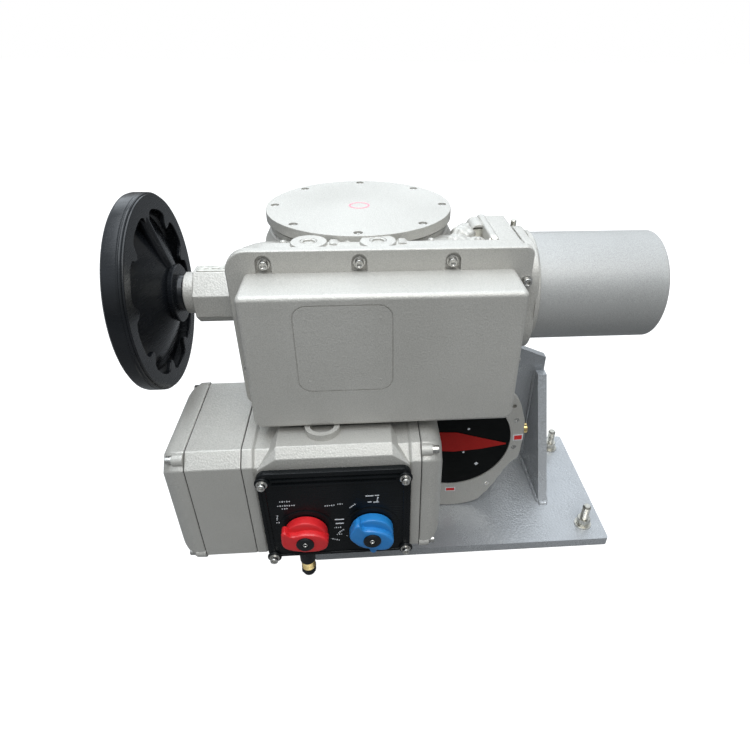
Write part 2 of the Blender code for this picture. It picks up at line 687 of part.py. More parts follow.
def make_handwheel(black, steel):
    axis = pivot("shaft_axis", (0.0, SHAFT_Y, SHAFT_Z))
    origin = (0.0, SHAFT_Y, SHAFT_Z)
    centre = (SHAFT_Y, SHAFT_Z)
    bm = bmesh.new()
    profile = [(-386.0, 12.5), (-386.0, 22.0), (-367.0, 25.0), (-390.0, 86.0), (-395.3, 92.0)]
    profile += [(-395.3, 110.0), (-391.0, 114.5), (-375.0, 114.5), (-371.3, 110.5), (-371.3, 96.0)]
    profile += [(-384.0, 94.0), (-384.0, 91.0), (-358.0, 29.0), (-357.0, 32.0), (-352.0, 32.0)]
    profile += [(-350.0, 30.0), (-350.0, 20.0), (-345.0, 19.0), (-345.0, 12.5)]
    lathe(bm, profile, "x", centre, FINE, True)
    wheel = build("handwheel", bm, black, origin, axis)
    bm = bmesh.new()
    for i in range(LOBES):
        mid = LOBE_PHASE + 360.0 * i / LOBES
        outline = arc(centre[0], centre[1], 101.0, mid + 4.5, mid - 4.5, 1)
        outline += arc(centre[0], centre[1], 81.0, mid - 2.8, mid + 2.8, 2)
        prism(bm, outline, "x", -377.0, -371.6)
    boolean(wheel, "join_lobes", bm, "UNION")

    bm = bmesh.new()
    seg = 10
    x0 = DRIVE_X - 34.0
    x1 = DRIVE_X + 34.0
    rows = helix(bm, "x", centre, 11.0, WORM1_R, 33.6, 3, x0, x1, 1, seg)
    close_shaft(bm, "x", centre, rows, [(-386.0, 0.0), (-386.0, 12.0), (x0 - 2.0, 12.0)],
                [(x1 + 2.0, 12.0), (52.0, 12.0), (52.0, 0.0)], seg)
    build("worm_shaft", bm, steel, origin, axis)
    bm = bmesh.new()
    disc(bm, "x", centre, 16.0, -391.5, -386.3, 6)
    build("handwheel_nut", bm, steel, origin, axis)
    return axis


# ---------------------------------------------------------------------- motor

def make_motor(paint, steel, copper, axis):
    centre = (SHAFT_Y, SHAFT_Z)
    origin = (0.0, SHAFT_Y, SHAFT_Z)
    bm = bmesh.new()
    outline = []
    for i in range(48):
        turn = 2.0 * math.pi * i / 48
        radius = 71.0 - 5.0 * math.cos(4.0 * turn)
        outline.append((centre[0] + radius * math.cos(turn), centre[1] + radius * math.sin(turn)))
    prism(bm, outline, "x", 47.0, 59.0)
    flange = build("motor_flange", bm, paint)
    bm = bmesh.new()
    disc(bm, "x", centre, 61.0, 50.0, 80.0, MID)
    boolean(flange, "join_neck", bm, "UNION")
    bm = bmesh.new()
    disc(bm, "x", centre, 24.0, 40.0, 90.0, 24)
    boolean(flange, "cut_flange_bore", bm)
    bm = bmesh.new()
    profile = [(88.0, 0.0), (88.0, 60.0), (80.3, 60.0), (80.3, MOTOR_R), (MOTOR_X1 - 2.5, MOTOR_R)]
    profile += [(MOTOR_X1, MOTOR_R - 2.5), (MOTOR_X1, 0.0)]
    lathe(bm, profile, "x", centre, FINE)
    tube_body = build("motor_tube", bm, paint)
    bm = bmesh.new()
    disc(bm, "x", centre, 59.0, 70.0, MOTOR_X1 - 6.0, FINE)
    boolean(tube_body, "cut_motor", bm)
    bm = bmesh.new()
    tube(bm, "x", centre, 37.0, 58.7, 96.0, 190.0, 24)
    build("motor_stator", bm, copper)
    bm = bmesh.new()
    profile = [(53.0, 0.0), (53.0, 20.0), (66.0, 20.0), (66.0, 12.0), (104.0, 12.0), (104.0, 36.0)]
    profile += [(184.0, 36.0), (184.0, 12.0), (MOTOR_X1 - 7.0, 12.0), (MOTOR_X1 - 7.0, 0.0)]
    lathe(bm, profile, "x", centre, 24)
    build("motor_rotor", bm, steel, origin, axis)


# ----------------------------------------------------------- electronics unit

def ecu_outline(inset):
    """The unit's section: one large chamfer along its top front edge and small ones elsewhere."""
    large = 15.0
    small = 4.0
    y0 = ECU_Y0 + inset
    y1 = ECU_Y1 - inset
    z0 = ECU_Z0 + inset
    z1 = ECU_Z1 - inset
    points = [(y0 + small, z0), (y1 - small, z0), (y1, z0 + small), (y1, z1 - small), (y1 - small, z1)]
    return points + [(y0 + large, z1), (y0, z1 - large), (y0, z0 + small)]


def pillow(bm, x0, direction):
    """A domed end cover: the section drawn in, row by row, away from its seam at x0."""
    loops = []
    for along, inset in [(0.0, 0.0), (7.0, 0.0), (15.0, 4.0), (21.0, 12.0), (24.5, 24.0), (26.5, 42.0)]:
        loops.append([bm.verts.new(place("x", x0 + direction * along, u, v)) for u, v in ecu_outline(inset)])
    count = len(loops[0])
    for near, far in zip(loops[:-1], loops[1:]):
        for i in range(count):
            j = (i + 1) % count
            bm.faces.new((near[i], near[j], far[j], far[i]))
    bm.faces.new(loops[0])
    bm.faces.new(loops[-1])


def make_ecu_shell(paint):
    bm = bmesh.new()
    frame_ring(bm, ecu_outline(0.0), ecu_outline(10.0), "x", ECU_X0, ECU_X1)
    body = build("ecu_body", bm, paint)
    bm = bmesh.new()
    outline = [(ECU_Y0 + 8.0, 116.0), (PANEL_Y + 9.0, 116.0), (PANEL_Y + 9.0, 251.0)]
    outline += [(ECU_Y0 + 7.0, 262.0), (ECU_Y0 + 8.0, 262.0)]
    prism(bm, outline, "x", PANEL_X0 + 2.0, PANEL_X1 - 2.0)
    boolean(body, "join_pad", bm, "UNION")
    bm = bmesh.new()
    box(bm, PANEL_X0 + 18.0, PANEL_X1 - 18.0, PANEL_Y, ECU_Y0 + 40.0, 140.0, 236.0)
    boolean(body, "cut_window", bm)
    holes(body, "cut_neck_way", "z", [(-188.8, -158.6)], 14.0, 240.0, 275.0, 16)

    bm = bmesh.new()
    frame_ring(bm, ecu_outline(0.0), ecu_outline(10.0), "x", -337.3, ECU_X0 - GAP)
    build("ecu_end_section", bm, paint)

    bm = bmesh.new()
    pillow(bm, -337.6, -1.0)
    build("ecu_left_cover", bm, paint)
    bm = bmesh.new()
    pillow(bm, ECU_X1 + GAP, 1.0)
    build("ecu_right_cover", bm, paint)

    bm = bmesh.new()
    tube(bm, "z", (-188.8, -158.6), 14.0, 20.0, ECU_Z1 + GAP, BOX_Z0 - GAP, 24)
    build("conduit_neck", bm, paint)
    bm = bmesh.new()
    box(bm, -186.0, -129.0, ECU_Y1 + GAP, 0.7, 126.0, 232.0)
    bracket = build("ecu_bracket", bm, paint)
    bm = bmesh.new()
    box(bm, -176.0, -139.0, ECU_Y1 + 8.0, -8.0, 110.0, 260.0)
    boolean(bracket, "cut_bracket", bm)


def make_boards(green):
    bm = bmesh.new()
    box(bm, -255.0, -95.0, -80.0, -78.4, 140.0, 240.0)
    build("logic_board", bm, green)


def make_panel(black, rubber):
    bm = bmesh.new()
    outline = rounded(PANEL_X0, PANEL_X1, PANEL_Z0, PANEL_Z1, 8.0, 3)
    prism(bm, outline, "y", PANEL_Y, PANEL_Y + 7.0)
    panel = build("control_panel", bm, black)
    bm = bmesh.new()
    prism(bm, rounded(PANEL_X0 + 13.0, PANEL_X1 - 13.0, PANEL_Z0 + 5.0, PANEL_Z1 - 24.0, 4.0, 2), "y",
          PANEL_Y - 3.0, PANEL_Y + 1.5)
    for x in (RED_X, BLUE_X):
        disc(bm, "y", (x, KNOB_Z), 6.4, PANEL_Y - 5.0, PANEL_Y + 12.0, SMALL)
    boolean(panel, "cut_panel", bm)
    bm = bmesh.new()
    frame_ring(bm, rounded(PANEL_X0 + 4.0, PANEL_X1 - 4.0, PANEL_Z0 + 3.0, PANEL_Z1 - 3.0, 5.0, 2),
               rounded(PANEL_X0 + 16.0, PANEL_X1 - 16.0, PANEL_Z0 + 20.0, PANEL_Z1 - 18.0, 3.0, 2),
               "y", PANEL_Y + 7.0 + GAP, PANEL_Y + 9.0 - GAP)
    build("panel_gasket", bm, rubber)


def make_knob(name, x, lean, mat, steel):
    """A selector with a wide grip across its disc and a short boss at its centre."""
    axis = pivot(name + "_axis", (x, 0.0, KNOB_Z))
    origin = (x, 0.0, KNOB_Z)
    front = PANEL_Y - 0.5
    bm = bmesh.new()
    profile = [(front, 0.0), (front, KNOB_R), (front - 10.0, KNOB_R), (front - 12.0, KNOB_R - 2.0)]
    profile += [(front - 12.0, 0.0)]
    lathe(bm, profile, "y", (x, KNOB_Z), 28)
    knob = build(name, bm, mat, origin, axis)
    bm = bmesh.new()
    turn = math.radians(lean)
    grip = []
    for along, across in rounded(-27.0, 27.0, -15.0, 15.0, 11.0, 3):
        grip.append((x + along * math.cos(turn) - across * math.sin(turn),
                     KNOB_Z + along * math.sin(turn) + across * math.cos(turn)))
    prism(bm, grip, "y", front - 19.0, front - 5.0)
    boolean(knob, "join_grip_" + name, bm, "UNION")
    bm = bmesh.new()
    disc(bm, "y", (x, KNOB_Z), 8.5, front - 22.0, front - 17.0, MID)
    boolean(knob, "join_boss_" + name, bm, "UNION")
    holes(knob, "cut_shaft_" + name, "y", [(x, KNOB_Z)], 4.4, front - 14.0, front + 5.0, SMALL)
    bm = bmesh.new()
    disc(bm, "y", (x, KNOB_Z), 4.0, front - 13.0, -172.6, SMALL)
    build(name + "_shaft", bm, steel, origin, axis)


def make_gland(black, brass):
    centre = (-217.5, -186.0)
    bm = bmesh.new()
    profile = [(ECU_Z0 - 35.0, 0.0), (ECU_Z0 - 35.0, 8.2), (ECU_Z0 - 24.0, 8.2), (ECU_Z0 - 24.0, 10.0)]
    profile += [(ECU_Z0 - GAP, 10.0), (ECU_Z0 - GAP, 0.0)]
    lathe(bm, profile, "z", centre, 12)
    build("gland_body", bm, brass)
    bm = bmesh.new()
    profile = [(ECU_Z0 - 46.0, 5.0), (ECU_Z0 - 44.0, 9.2), (ECU_Z0 - 35.6, 9.7), (ECU_Z0 - 35.6, 5.0)]
    lathe(bm, profile, "z", centre, SMALL, True)
    build("gland_cap", bm, black)


def main():
    clear_scene()
    paint = material("grey_paint", (0.40, 0.40, 0.39), 0.38, 0.35)
    plate_paint = material("bracket_paint", (0.46, 0.46, 0.45), 0.30, 0.25)
    black = material("black_gloss", (0.010, 0.010, 0.012), 0.22, 0.0)
    rubber = material("black_rubber", (0.02, 0.02, 0.02), 0.75, 0.0)
    steel = material("stainless", (0.58, 0.57, 0.55), 0.28, 1.0)
    zinc = material("zinc", (0.62, 0.61, 0.56), 0.33, 1.0)
    bronze = material("bronze", (0.55, 0.33, 0.12), 0.35, 1.0)
    brass = material("brass", (0.72, 0.55, 0.25), 0.25, 1.0)
    copper = material("copper_winding", (0.50, 0.20, 0.08), 0.45, 0.8)
    red = material("red_plastic", (0.60, 0.012, 0.015), 0.30, 0.0)
    dark_red = material("pointer_red", (0.30, 0.008, 0.008), 0.45, 0.0)
    blue = material("blue_plastic", (0.010, 0.17, 0.52), 0.30, 0.0)
    green = material("circuit_board", (0.01, 0.16, 0.05), 0.5, 0.0)
    plastic = material("grey_plastic", (0.10, 0.10, 0.10), 0.55, 0.0)

    make_bracket(plate_paint, zinc)
    make_gearbox_shell(paint, brass)
    make_adapter(paint)
    make_output(steel, plate_paint, black, dark_red, bronze)
    make_gearbox_bushes(bronze, paint)
    make_drive_train(steel, bronze)
    make_bearings(steel)
    make_main_housing(paint)
    make_top(paint, rubber)
    make_plugs(paint)
    make_terminal_cover(paint, rubber, plastic)
    make_neck(paint)
    axis = make_handwheel(black, steel)
    make_motor(paint, steel, copper, axis)
    make_ecu_shell(paint)
    make_boards(green)
    make_panel(black, rubber)
    make_knob("red_knob", RED_X, -8.0, red, steel)
    make_knob("blue_knob", BLUE_X, -28.0, blue, steel)
    make_gland(black, brass)


main()
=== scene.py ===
import math

import bmesh
import bpy
from mathutils import Matrix, Vector


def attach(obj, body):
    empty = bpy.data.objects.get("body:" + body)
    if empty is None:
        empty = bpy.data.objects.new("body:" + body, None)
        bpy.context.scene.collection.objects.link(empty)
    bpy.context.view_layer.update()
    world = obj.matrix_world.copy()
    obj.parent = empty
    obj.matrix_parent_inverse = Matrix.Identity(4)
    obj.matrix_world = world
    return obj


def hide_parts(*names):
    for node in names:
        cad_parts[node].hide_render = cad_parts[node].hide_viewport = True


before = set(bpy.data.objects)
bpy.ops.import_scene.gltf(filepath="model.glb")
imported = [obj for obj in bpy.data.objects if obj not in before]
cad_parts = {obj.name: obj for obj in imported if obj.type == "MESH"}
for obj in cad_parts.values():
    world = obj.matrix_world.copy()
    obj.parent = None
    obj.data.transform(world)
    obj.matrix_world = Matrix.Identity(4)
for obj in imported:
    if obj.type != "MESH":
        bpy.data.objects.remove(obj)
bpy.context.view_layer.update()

# Lengths are millimetres in the row frame; MM converts them.
MM = 0.001

OUT_X, OUT_Z = -10.5, 145.5
DRIVE_X, DRIVE_Y = -138.5, 46.0
SHAFT_Y, SHAFT_Z = -32.5, 392.0
DIAL_Y = -37.5
ECU_Y0, ECU_Y1, ECU_Z0, ECU_Z1 = -193.1, -42.0, 112.0, 270.0
PANEL_Y = -202.5
KNOB_Z = 162.0
RED_X, BLUE_X = -212.2, -135.3
BASE_TOP = 14.0
BRACKET_FRONT, BRACKET_BACK = 69.5, 82.5
RIB_INNER, RIB_OUTER, RIB_TOE = 133.7, 147.7, -42.0
COVER_R, COVER_TOP = 115.0, 471.5
LEDGE_TOP = 466.6
MOTOR_R, MOTOR_END = 65.0, 214.7
UP, DOWN, FRONT, BACK, LEFT, RIGHT = (Vector(v) for v in (
    (0.0, 0.0, 1.0), (0.0, 0.0, -1.0), (0.0, -1.0, 0.0), (0.0, 1.0, 0.0), (-1.0, 0.0, 0.0), (1.0, 0.0, 0.0)))


# ------------------------------------------------------------------ materials

def shader(name):
    mat = bpy.data.materials.new(name)
    mat.use_nodes = True
    return mat, mat.node_tree, mat.node_tree.nodes["Principled BSDF"]


def node(tree, kind, **values):
    made = tree.nodes.new(kind)
    for key, value in values.items():
        if hasattr(made, key):
            setattr(made, key, value)
        else:
            made.inputs[key.replace("_", " ")].default_value = value
    return made


def coords(tree, scale=(1.0, 1.0, 1.0)):
    where = node(tree, "ShaderNodeTexCoord")
    mapping = node(tree, "ShaderNodeMapping")
    mapping.inputs["Scale"].default_value = scale
    tree.links.new(where.outputs["Object"], mapping.inputs["Vector"])
    return mapping.outputs["Vector"]


def noise(tree, vector, scale, detail=3.0, rough=0.5):
    made = node(tree, "ShaderNodeTexNoise", Scale=scale, Detail=detail, Roughness=rough)
    tree.links.new(vector, made.inputs["Vector"])
    return made.outputs["Fac"]


def cells(tree, vector, scale, smooth=0.6):
    made = node(tree, "ShaderNodeTexVoronoi")
    made.feature = "SMOOTH_F1"
    made.inputs["Scale"].default_value = scale
    made.inputs["Smoothness"].default_value = smooth
    tree.links.new(vector, made.inputs["Vector"])
    return made.outputs["Distance"]


def spread(tree, fac, low, high, lo=0.3, hi=0.7):
    """Map a 0-1 value to a range of numbers."""
    made = node(tree, "ShaderNodeMapRange")
    made.inputs["From Min"].default_value = lo
    made.inputs["From Max"].default_value = hi
    made.inputs["To Min"].default_value = low
    made.inputs["To Max"].default_value = high
    tree.links.new(fac, made.inputs["Value"])
    return made.outputs["Result"]


def tint(tree, fac, dark, light, lo=0.3, hi=0.7):
    ramp = node(tree, "ShaderNodeValToRGB")
    ramp.color_ramp.elements[0].position = lo
    ramp.color_ramp.elements[1].position = hi
    ramp.color_ramp.elements[0].color = (*dark, 1.0)
    ramp.color_ramp.elements[1].color = (*light, 1.0)
    tree.links.new(fac, ramp.inputs["Fac"])
    return ramp.outputs["Color"]


def blend(tree, first, second, amount):
    mix = node(tree, "ShaderNodeMix")
    mix.data_type = "RGBA"
    mix.inputs[0].default_value = amount
    tree.links.new(first, mix.inputs[6])
    tree.links.new(second, mix.inputs[7])
    return mix.outputs[2]


def total(tree, first, second, weight):
    made = node(tree, "ShaderNodeMath")
    made.operation = "MULTIPLY_ADD"
    tree.links.new(second, made.inputs[0])
    made.inputs[1].default_value = weight
    tree.links.new(first, made.inputs[2])
    return made.outputs["Value"]


def bump(tree, height, strength, distance):
    made = node(tree, "ShaderNodeBump")
    made.inputs["Strength"].default_value = strength
    made.inputs["Distance"].default_value = distance * MM
    tree.links.new(height, made.inputs["Height"])
    return made.outputs["Normal"]


def hammered(name, dark, light, cell, depth, rough, metal, coat=0.0):
    """Hammer-finish paint: shallow irregular dimples over a slightly metallic coat with fine flakes."""
    mat, tree, bsdf = shader(name)
    vector = coords(tree)
    dimples = cells(tree, vector, 1000.0 / cell)
    grain = noise(tree, vector, 2400.0 / cell, 2.0)
    flakes = noise(tree, vector, 1150.0, 2.0)
    cloud = noise(tree, vector, 9.0, 4.0)
    base = tint(tree, cloud, dark, light)
    speck = tint(tree, flakes, tuple(c * 0.66 for c in dark), tuple(min(1.0, c * 1.35) for c in light), 0.36,
                 0.64)
    tree.links.new(blend(tree, base, speck, 0.36), bsdf.inputs["Base Color"])
    tree.links.new(spread(tree, total(tree, cloud, grain, 0.4), rough - 0.06, rough + 0.09, 0.4, 1.0),
                   bsdf.inputs["Roughness"])
    tree.links.new(bump(tree, total(tree, dimples, grain, 0.35), 0.55, depth), bsdf.inputs["Normal"])
    bsdf.inputs["Metallic"].default_value = metal
    bsdf.inputs["Coat Weight"].default_value = coat
    bsdf.inputs["Coat Roughness"].default_value = 0.12
    return mat


def moulded(name, dark, light, rough, grain=700.0, depth=0.02, coat=0.0, gloss=0.5):
    """Moulded or painted plastic: faint mottling, handling marks in the gloss and a fine skin."""
    mat, tree, bsdf = shader(name)
    vector = coords(tree)
    cloud = noise(tree, vector, 22.0, 5.0, 0.6)
    skin = noise(tree, vector, grain, 3.0)
    scuff = noise(tree, coords(tree, (1.0, 1.0, 9.0)), 60.0, 6.0, 0.7)
    tree.links.new(tint(tree, cloud, dark, light), bsdf.inputs["Base Color"])
    tree.links.new(spread(tree, scuff, rough * 0.75, rough * 1.45), bsdf.inputs["Roughness"])
    tree.links.new(bump(tree, skin, 0.35, depth), bsdf.inputs["Normal"])
    bsdf.inputs["Specular IOR Level"].default_value = gloss
    bsdf.inputs["Coat Weight"].default_value = coat
    bsdf.inputs["Coat Roughness"].default_value = 0.08
    return mat


def machined(name, dark, light, rough, stretch=(1.0, 1.0, 30.0)):
    """Turned or plated metal: fine tool lines, stains and a variable polish."""
    mat, tree, bsdf = shader(name)
    lines = noise(tree, coords(tree, stretch), 420.0, 3.0, 0.7)
    stain = noise(tree, coords(tree), 130.0, 5.0, 0.65)
    tree.links.new(tint(tree, stain, dark, light, 0.32, 0.62), bsdf.inputs["Base Color"])
    tree.links.new(spread(tree, total(tree, stain, lines, 0.5), rough * 0.7, rough * 1.5, 0.4, 1.1),
                   bsdf.inputs["Roughness"])
    tree.links.new(bump(tree, lines, 0.25, 0.05), bsdf.inputs["Normal"])
    bsdf.inputs["Metallic"].default_value = 1.0
    return mat


def flat_print(name, dark, light, rough):
    """Printed or brushed-on marking with worn spots."""
    mat, tree, bsdf = shader(name)
    wear = noise(tree, coords(tree), 900.0, 4.0, 0.7)
    tree.links.new(tint(tree, wear, dark, light, 0.34, 0.5), bsdf.inputs["Base Color"])
    tree.links.new(spread(tree, wear, rough, rough + 0.2), bsdf.inputs["Roughness"])
    bsdf.inputs["Specular IOR Level"].default_value = 0.12
    return mat


def wound(name):
    mat, tree, bsdf = shader(name)
    wire = node(tree, "ShaderNodeTexWave", Scale=260.0, Distortion=1.5, Detail=1.0)
    wire.bands_direction = "Z"
    tree.links.new(coords(tree), wire.inputs["Vector"])
    tree.links.new(tint(tree, wire.outputs["Fac"], (0.10, 0.03, 0.012), (0.55, 0.22, 0.08)),
                   bsdf.inputs["Base Color"])
    tree.links.new(bump(tree, wire.outputs["Fac"], 0.6, 0.4), bsdf.inputs["Normal"])
    bsdf.inputs["Metallic"].default_value = 0.7
    bsdf.inputs["Roughness"].default_value = 0.4
    return mat


def circuit(name):
    mat, tree, bsdf = shader(name)
    brick = node(tree, "ShaderNodeTexBrick", Scale=90.0)
    brick.inputs["Color1"].default_value = (0.01, 0.13, 0.045, 1.0)
    brick.inputs["Color2"].default_value = (0.015, 0.19, 0.06, 1.0)
    brick.inputs["Mortar"].default_value = (0.03, 0.30, 0.12, 1.0)
    brick.inputs["Mortar Size"].default_value = 0.03
    turn = node(tree, "ShaderNodeMapping")
    turn.inputs["Rotation"].default_value = (math.pi / 2, 0.0, 0.0)
    tree.links.new(coords(tree), turn.inputs["Vector"])
    tree.links.new(turn.outputs["Vector"], brick.inputs["Vector"])
    tree.links.new(brick.outputs["Color"], bsdf.inputs["Base Color"])
    bsdf.inputs["Roughness"].default_value = 0.35
    return mat


PAINT = hammered("casting_paint", (0.395, 0.385, 0.355), (0.46, 0.45, 0.42), 2.2, 0.42, 0.44, 0.30)
SMOOTH_PAINT = hammered("motor_paint", (0.335, 0.335, 0.325), (0.385, 0.385, 0.375), 2.0, 0.20, 0.46, 0.30)
PLATE = hammered("bracket_paint", (0.36, 0.37, 0.38), (0.46, 0.475, 0.49), 3.4, 0.75, 0.24, 0.35, 0.30)
BLACK = moulded("gloss_black", (0.004, 0.005, 0.006), (0.009, 0.010, 0.012), 0.22, 500.0, 0.015, 0.04,
                gloss=0.3)
PANEL = moulded("panel_black", (0.003, 0.004, 0.0045), (0.007, 0.008, 0.009), 0.26, 900.0, 0.03, gloss=0.16)
DIAL = moulded("dial_black", (0.002, 0.0025, 0.0025), (0.006, 0.0065, 0.006), 0.5, 1200.0, 0.02, gloss=0.08)
RED = moulded("knob_red", (0.50, 0.010, 0.014), (0.63, 0.018, 0.022), 0.34, 800.0, 0.03, 0.15)
BLUE = moulded("knob_blue", (0.010, 0.150, 0.42), (0.018, 0.205, 0.52), 0.33, 800.0, 0.03, 0.15)
# Dark rubber for the seals, gaskets and seams; the same dark material also makes painted shade: the thin shadow ring
# at the back of the dial's well and the dark discs in the plug sockets.
RUBBER_AND_SHADE = moulded("seal_rubber", (0.010, 0.010, 0.010), (0.022, 0.022, 0.022), 0.7, 1500.0, 0.05)
GREY_PLASTIC = moulded("grey_plastic", (0.10, 0.10, 0.10), (0.15, 0.15, 0.15), 0.5)
STEEL = machined("stainless_steel", (0.40, 0.39, 0.37), (0.66, 0.65, 0.62), 0.24)
ZINC = machined("zinc_plate", (0.38, 0.37, 0.33), (0.66, 0.64, 0.58), 0.30, (1.0, 1.0, 6.0))
BRONZE = machined("bronze", (0.33, 0.18, 0.06), (0.62, 0.38, 0.15), 0.3)
BRASS = machined("brass", (0.55, 0.38, 0.14), (0.85, 0.66, 0.32), 0.2)
POINTER = flat_print("pointer_red", (0.23, 0.012, 0.010), (0.36, 0.016, 0.013), 0.45)
WHITE = flat_print("white_print", (0.30, 0.31, 0.32), (0.72, 0.74, 0.76), 0.5)
RED_MARK = flat_print("red_print", (0.50, 0.05, 0.05), (0.62, 0.03, 0.03), 0.45)
PALE_RED = flat_print("faded_red_print", (0.60, 0.52, 0.54), (0.66, 0.22, 0.27), 0.5)
WINDING = wound("winding")
BOARD = circuit("circuit_board")


# -------------------------------------------------------------------- shaping

def place(axis, along, u, v):
    if axis == "x":
        return Vector((along, u, v))
    if axis == "y":
        return Vector((u, along, v))
    return Vector((u, v, along))


def around(cu, cv, radius, angle):
    turn = math.radians(angle)
    return cu + radius * math.cos(turn), cv + radius * math.sin(turn)


def arc(cu, cv, radius, start, end, steps):
    return [around(cu, cv, radius, start + (end - start) * i / steps) for i in range(steps + 1)]


def corners(u0, u1, v0, v1, radii, steps=6):
    """A rectangle with its own radius at low right, top right, top left and low left."""
    a, b, c, d = radii
    points = arc(u1 - a, v0 + a, a, -90.0, 0.0, steps)
    points += arc(u1 - b, v1 - b, b, 0.0, 90.0, steps)
    points += arc(u0 + c, v1 - c, c, 90.0, 180.0, steps)
    return points + arc(u0 + d, v0 + d, d, 180.0, 270.0, steps)


def rounded(u0, u1, v0, v1, radius, steps=6):
    return corners(u0, u1, v0, v1, (radius, radius, radius, radius), steps)


def turned(points, cu, cv, angle):
    turn = math.radians(angle)
    return [(cu + u * math.cos(turn) - v * math.sin(turn), cv + u * math.sin(turn) + v * math.cos(turn))
            for u, v in points]


def oblong(cu, cv, wide, tall, angle=0.0):
    edge = [(-wide / 2, -tall / 2), (wide / 2, -tall / 2), (wide / 2, tall / 2), (-wide / 2, tall / 2)]
    return turned(edge, cu, cv, angle)


def loft(bm, loops, closed=False):
    """Skin loops of the same length; a loop of one point closes to a tip."""
    rows = [[bm.verts.new(p) for p in loop] for loop in loops]
    pairs = list(zip(rows[:-1], rows[1:]))
    if closed:
        pairs.append((rows[-1], rows[0]))
    for first, second in pairs:
        count = max(len(first), len(second))
        for i in range(count):
            j = (i + 1) % count
            if len(first) == 1:
                bm.faces.new((first[0], second[i], second[j]))
            elif len(second) == 1:
                bm.faces.new((first[i], first[j], second[0]))
            else:
                bm.faces.new((first[i], first[j], second[j], second[i]))
    if not closed:
        for row in (rows[0], rows[-1]):
            if len(row) > 2:
                bm.faces.new(row)
    return bm


def prism(bm, points, axis, a0, a1):
    return loft(bm, [[place(axis, a, u, v) for u, v in points] for a in (a0, a1)])


def ring(bm, outer, inner, axis, a0, a1):
    rows = ((outer, a0), (outer, a1), (inner, a1), (inner, a0))
    return loft(bm, [[place(axis, a, u, v) for u, v in points] for points, a in rows], True)


def lathe(bm, profile, axis, centre, seg=96, closed=False):
    loops = []
    for along, radius in profile:
        if radius <= 0.0:
            loops.append([place(axis, along, centre[0], centre[1])])
            continue
        loops.append([place(axis, along, centre[0] + radius * math.cos(2.0 * math.pi * i / seg),
                            centre[1] + radius * math.sin(2.0 * math.pi * i / seg)) for i in range(seg)])
    return loft(bm, loops, closed)


def spun(rows, seg=24):
    """A small turned part along +Z from (height, radius, shape) rows; shape "h" makes that row hexagonal."""
    bm = bmesh.new()
    loops = []
    for row in rows:
        if row[1] <= 0.0:
            loops.append([Vector((0.0, 0.0, row[0]))])
            continue
        loop = []
        for i in range(seg):
            turn = 360.0 * i / seg
            radius = row[1]
            if len(row) > 2:
                radius *= math.cos(math.radians(30.0)) / math.cos(math.radians(turn % 60.0 - 30.0))
            loop.append(Vector((*around(0.0, 0.0, radius, turn), row[0])))
        loops.append(loop)
    return loft(bm, loops)


def stamp(bm, part, at, to=UP, spin=0.0):
    """Copy a part modelled along +Z into bm, its foot at a point and its axis along a direction."""
    mesh = bpy.data.meshes.new("stamp")
    part.to_mesh(mesh)
    turn = UP.rotation_difference(Vector(to)).to_matrix().to_4x4()
    mesh.transform(Matrix.Translation(Vector(at)) @ turn @ Matrix.Rotation(math.radians(spin), 4, "Z"))
    bm.from_mesh(mesh)
    bpy.data.meshes.remove(mesh)


def soften(bm, width, steps=3, least=35.0):
    """Round the sharp edges of a closed shape."""
    bmesh.ops.recalc_face_normals(bm, faces=bm.faces[:])
    edges = [e for e in bm.edges if len(e.link_faces) == 2 and e.calc_face_angle(0.0) > math.radians(least)]
    bmesh.ops.bevel(bm, geom=edges, offset=width, segments=steps, profile=0.5, affect="EDGES",
                    clamp_overlap=True)
    return bm


def to_object(name, bm):
    bmesh.ops.recalc_face_normals(bm, faces=bm.faces[:])
    for vert in bm.verts:
        vert.co *= MM
    mesh = bpy.data.meshes.new(name)
    bm.to_mesh(mesh)
    bm.free()
    item = bpy.data.objects.new(name, mesh)
    bpy.context.collection.objects.link(item)
    return item


def carve(item, bm):
    """Cut a shape out of an object and keep the result."""
    tool = to_object("tool", bm)
    mod = item.modifiers.new("carve", "BOOLEAN")
    mod.operation = "DIFFERENCE"
    mod.solver = "EXACT"
    mod.object = tool
    depsgraph = bpy.context.evaluated_depsgraph_get()
    mesh = bpy.data.meshes.new_from_object(item.evaluated_get(depsgraph))
    item.modifiers.clear()
    item.data = mesh
    bpy.data.objects.remove(tool, do_unlink=True)


def dress(item, mat, body="frame", stands_for=(), angle=38.0):
    """Give a finished shape its material, shading and body, and hide the nodes it stands for."""
    item.data.materials.clear()
    item.data.materials.append(mat)
    item.data.shade_smooth()
    item.data.set_sharp_from_angle(angle=math.radians(angle))
    mod = item.modifiers.new("normals", "WEIGHTED_NORMAL")
    mod.keep_sharp = True
    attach(item, body)
    if stands_for:
        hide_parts(*stands_for)


def piece(name, bm, mat, body="frame", stands_for=(), angle=38.0):
    dress(to_object(name, bm), mat, body, stands_for, angle)


def socket_head(radius, height, key):
    """Socket head cap screw."""
    rows = [(0.0, 0.0), (0.0, radius), (height - 0.9, radius), (height - 0.25, radius * 0.93),
            (height, radius * 0.84)]
    rows += [(height, key * 1.15), (height - 0.5, key, "h"), (height - radius * 0.62, key, "h")]
    return spun(rows + [(height - radius * 0.75, 0.0)])


def washer(radius, hole, thick):
    return spun([(0.0, hole), (0.0, radius - 0.2), (0.2, radius), (thick - 0.2, radius),
                 (thick, radius - 0.3),
                 (thick, hole), (0.0, hole)], 32)


def hex_head(radius, height):
    rows = [(0.0, 0.0), (0.0, radius * 0.9), (0.4, radius, "h"), (height * 0.72, radius, "h")]
    return spun(rows + [(height, radius * 0.80), (height, 0.0)])


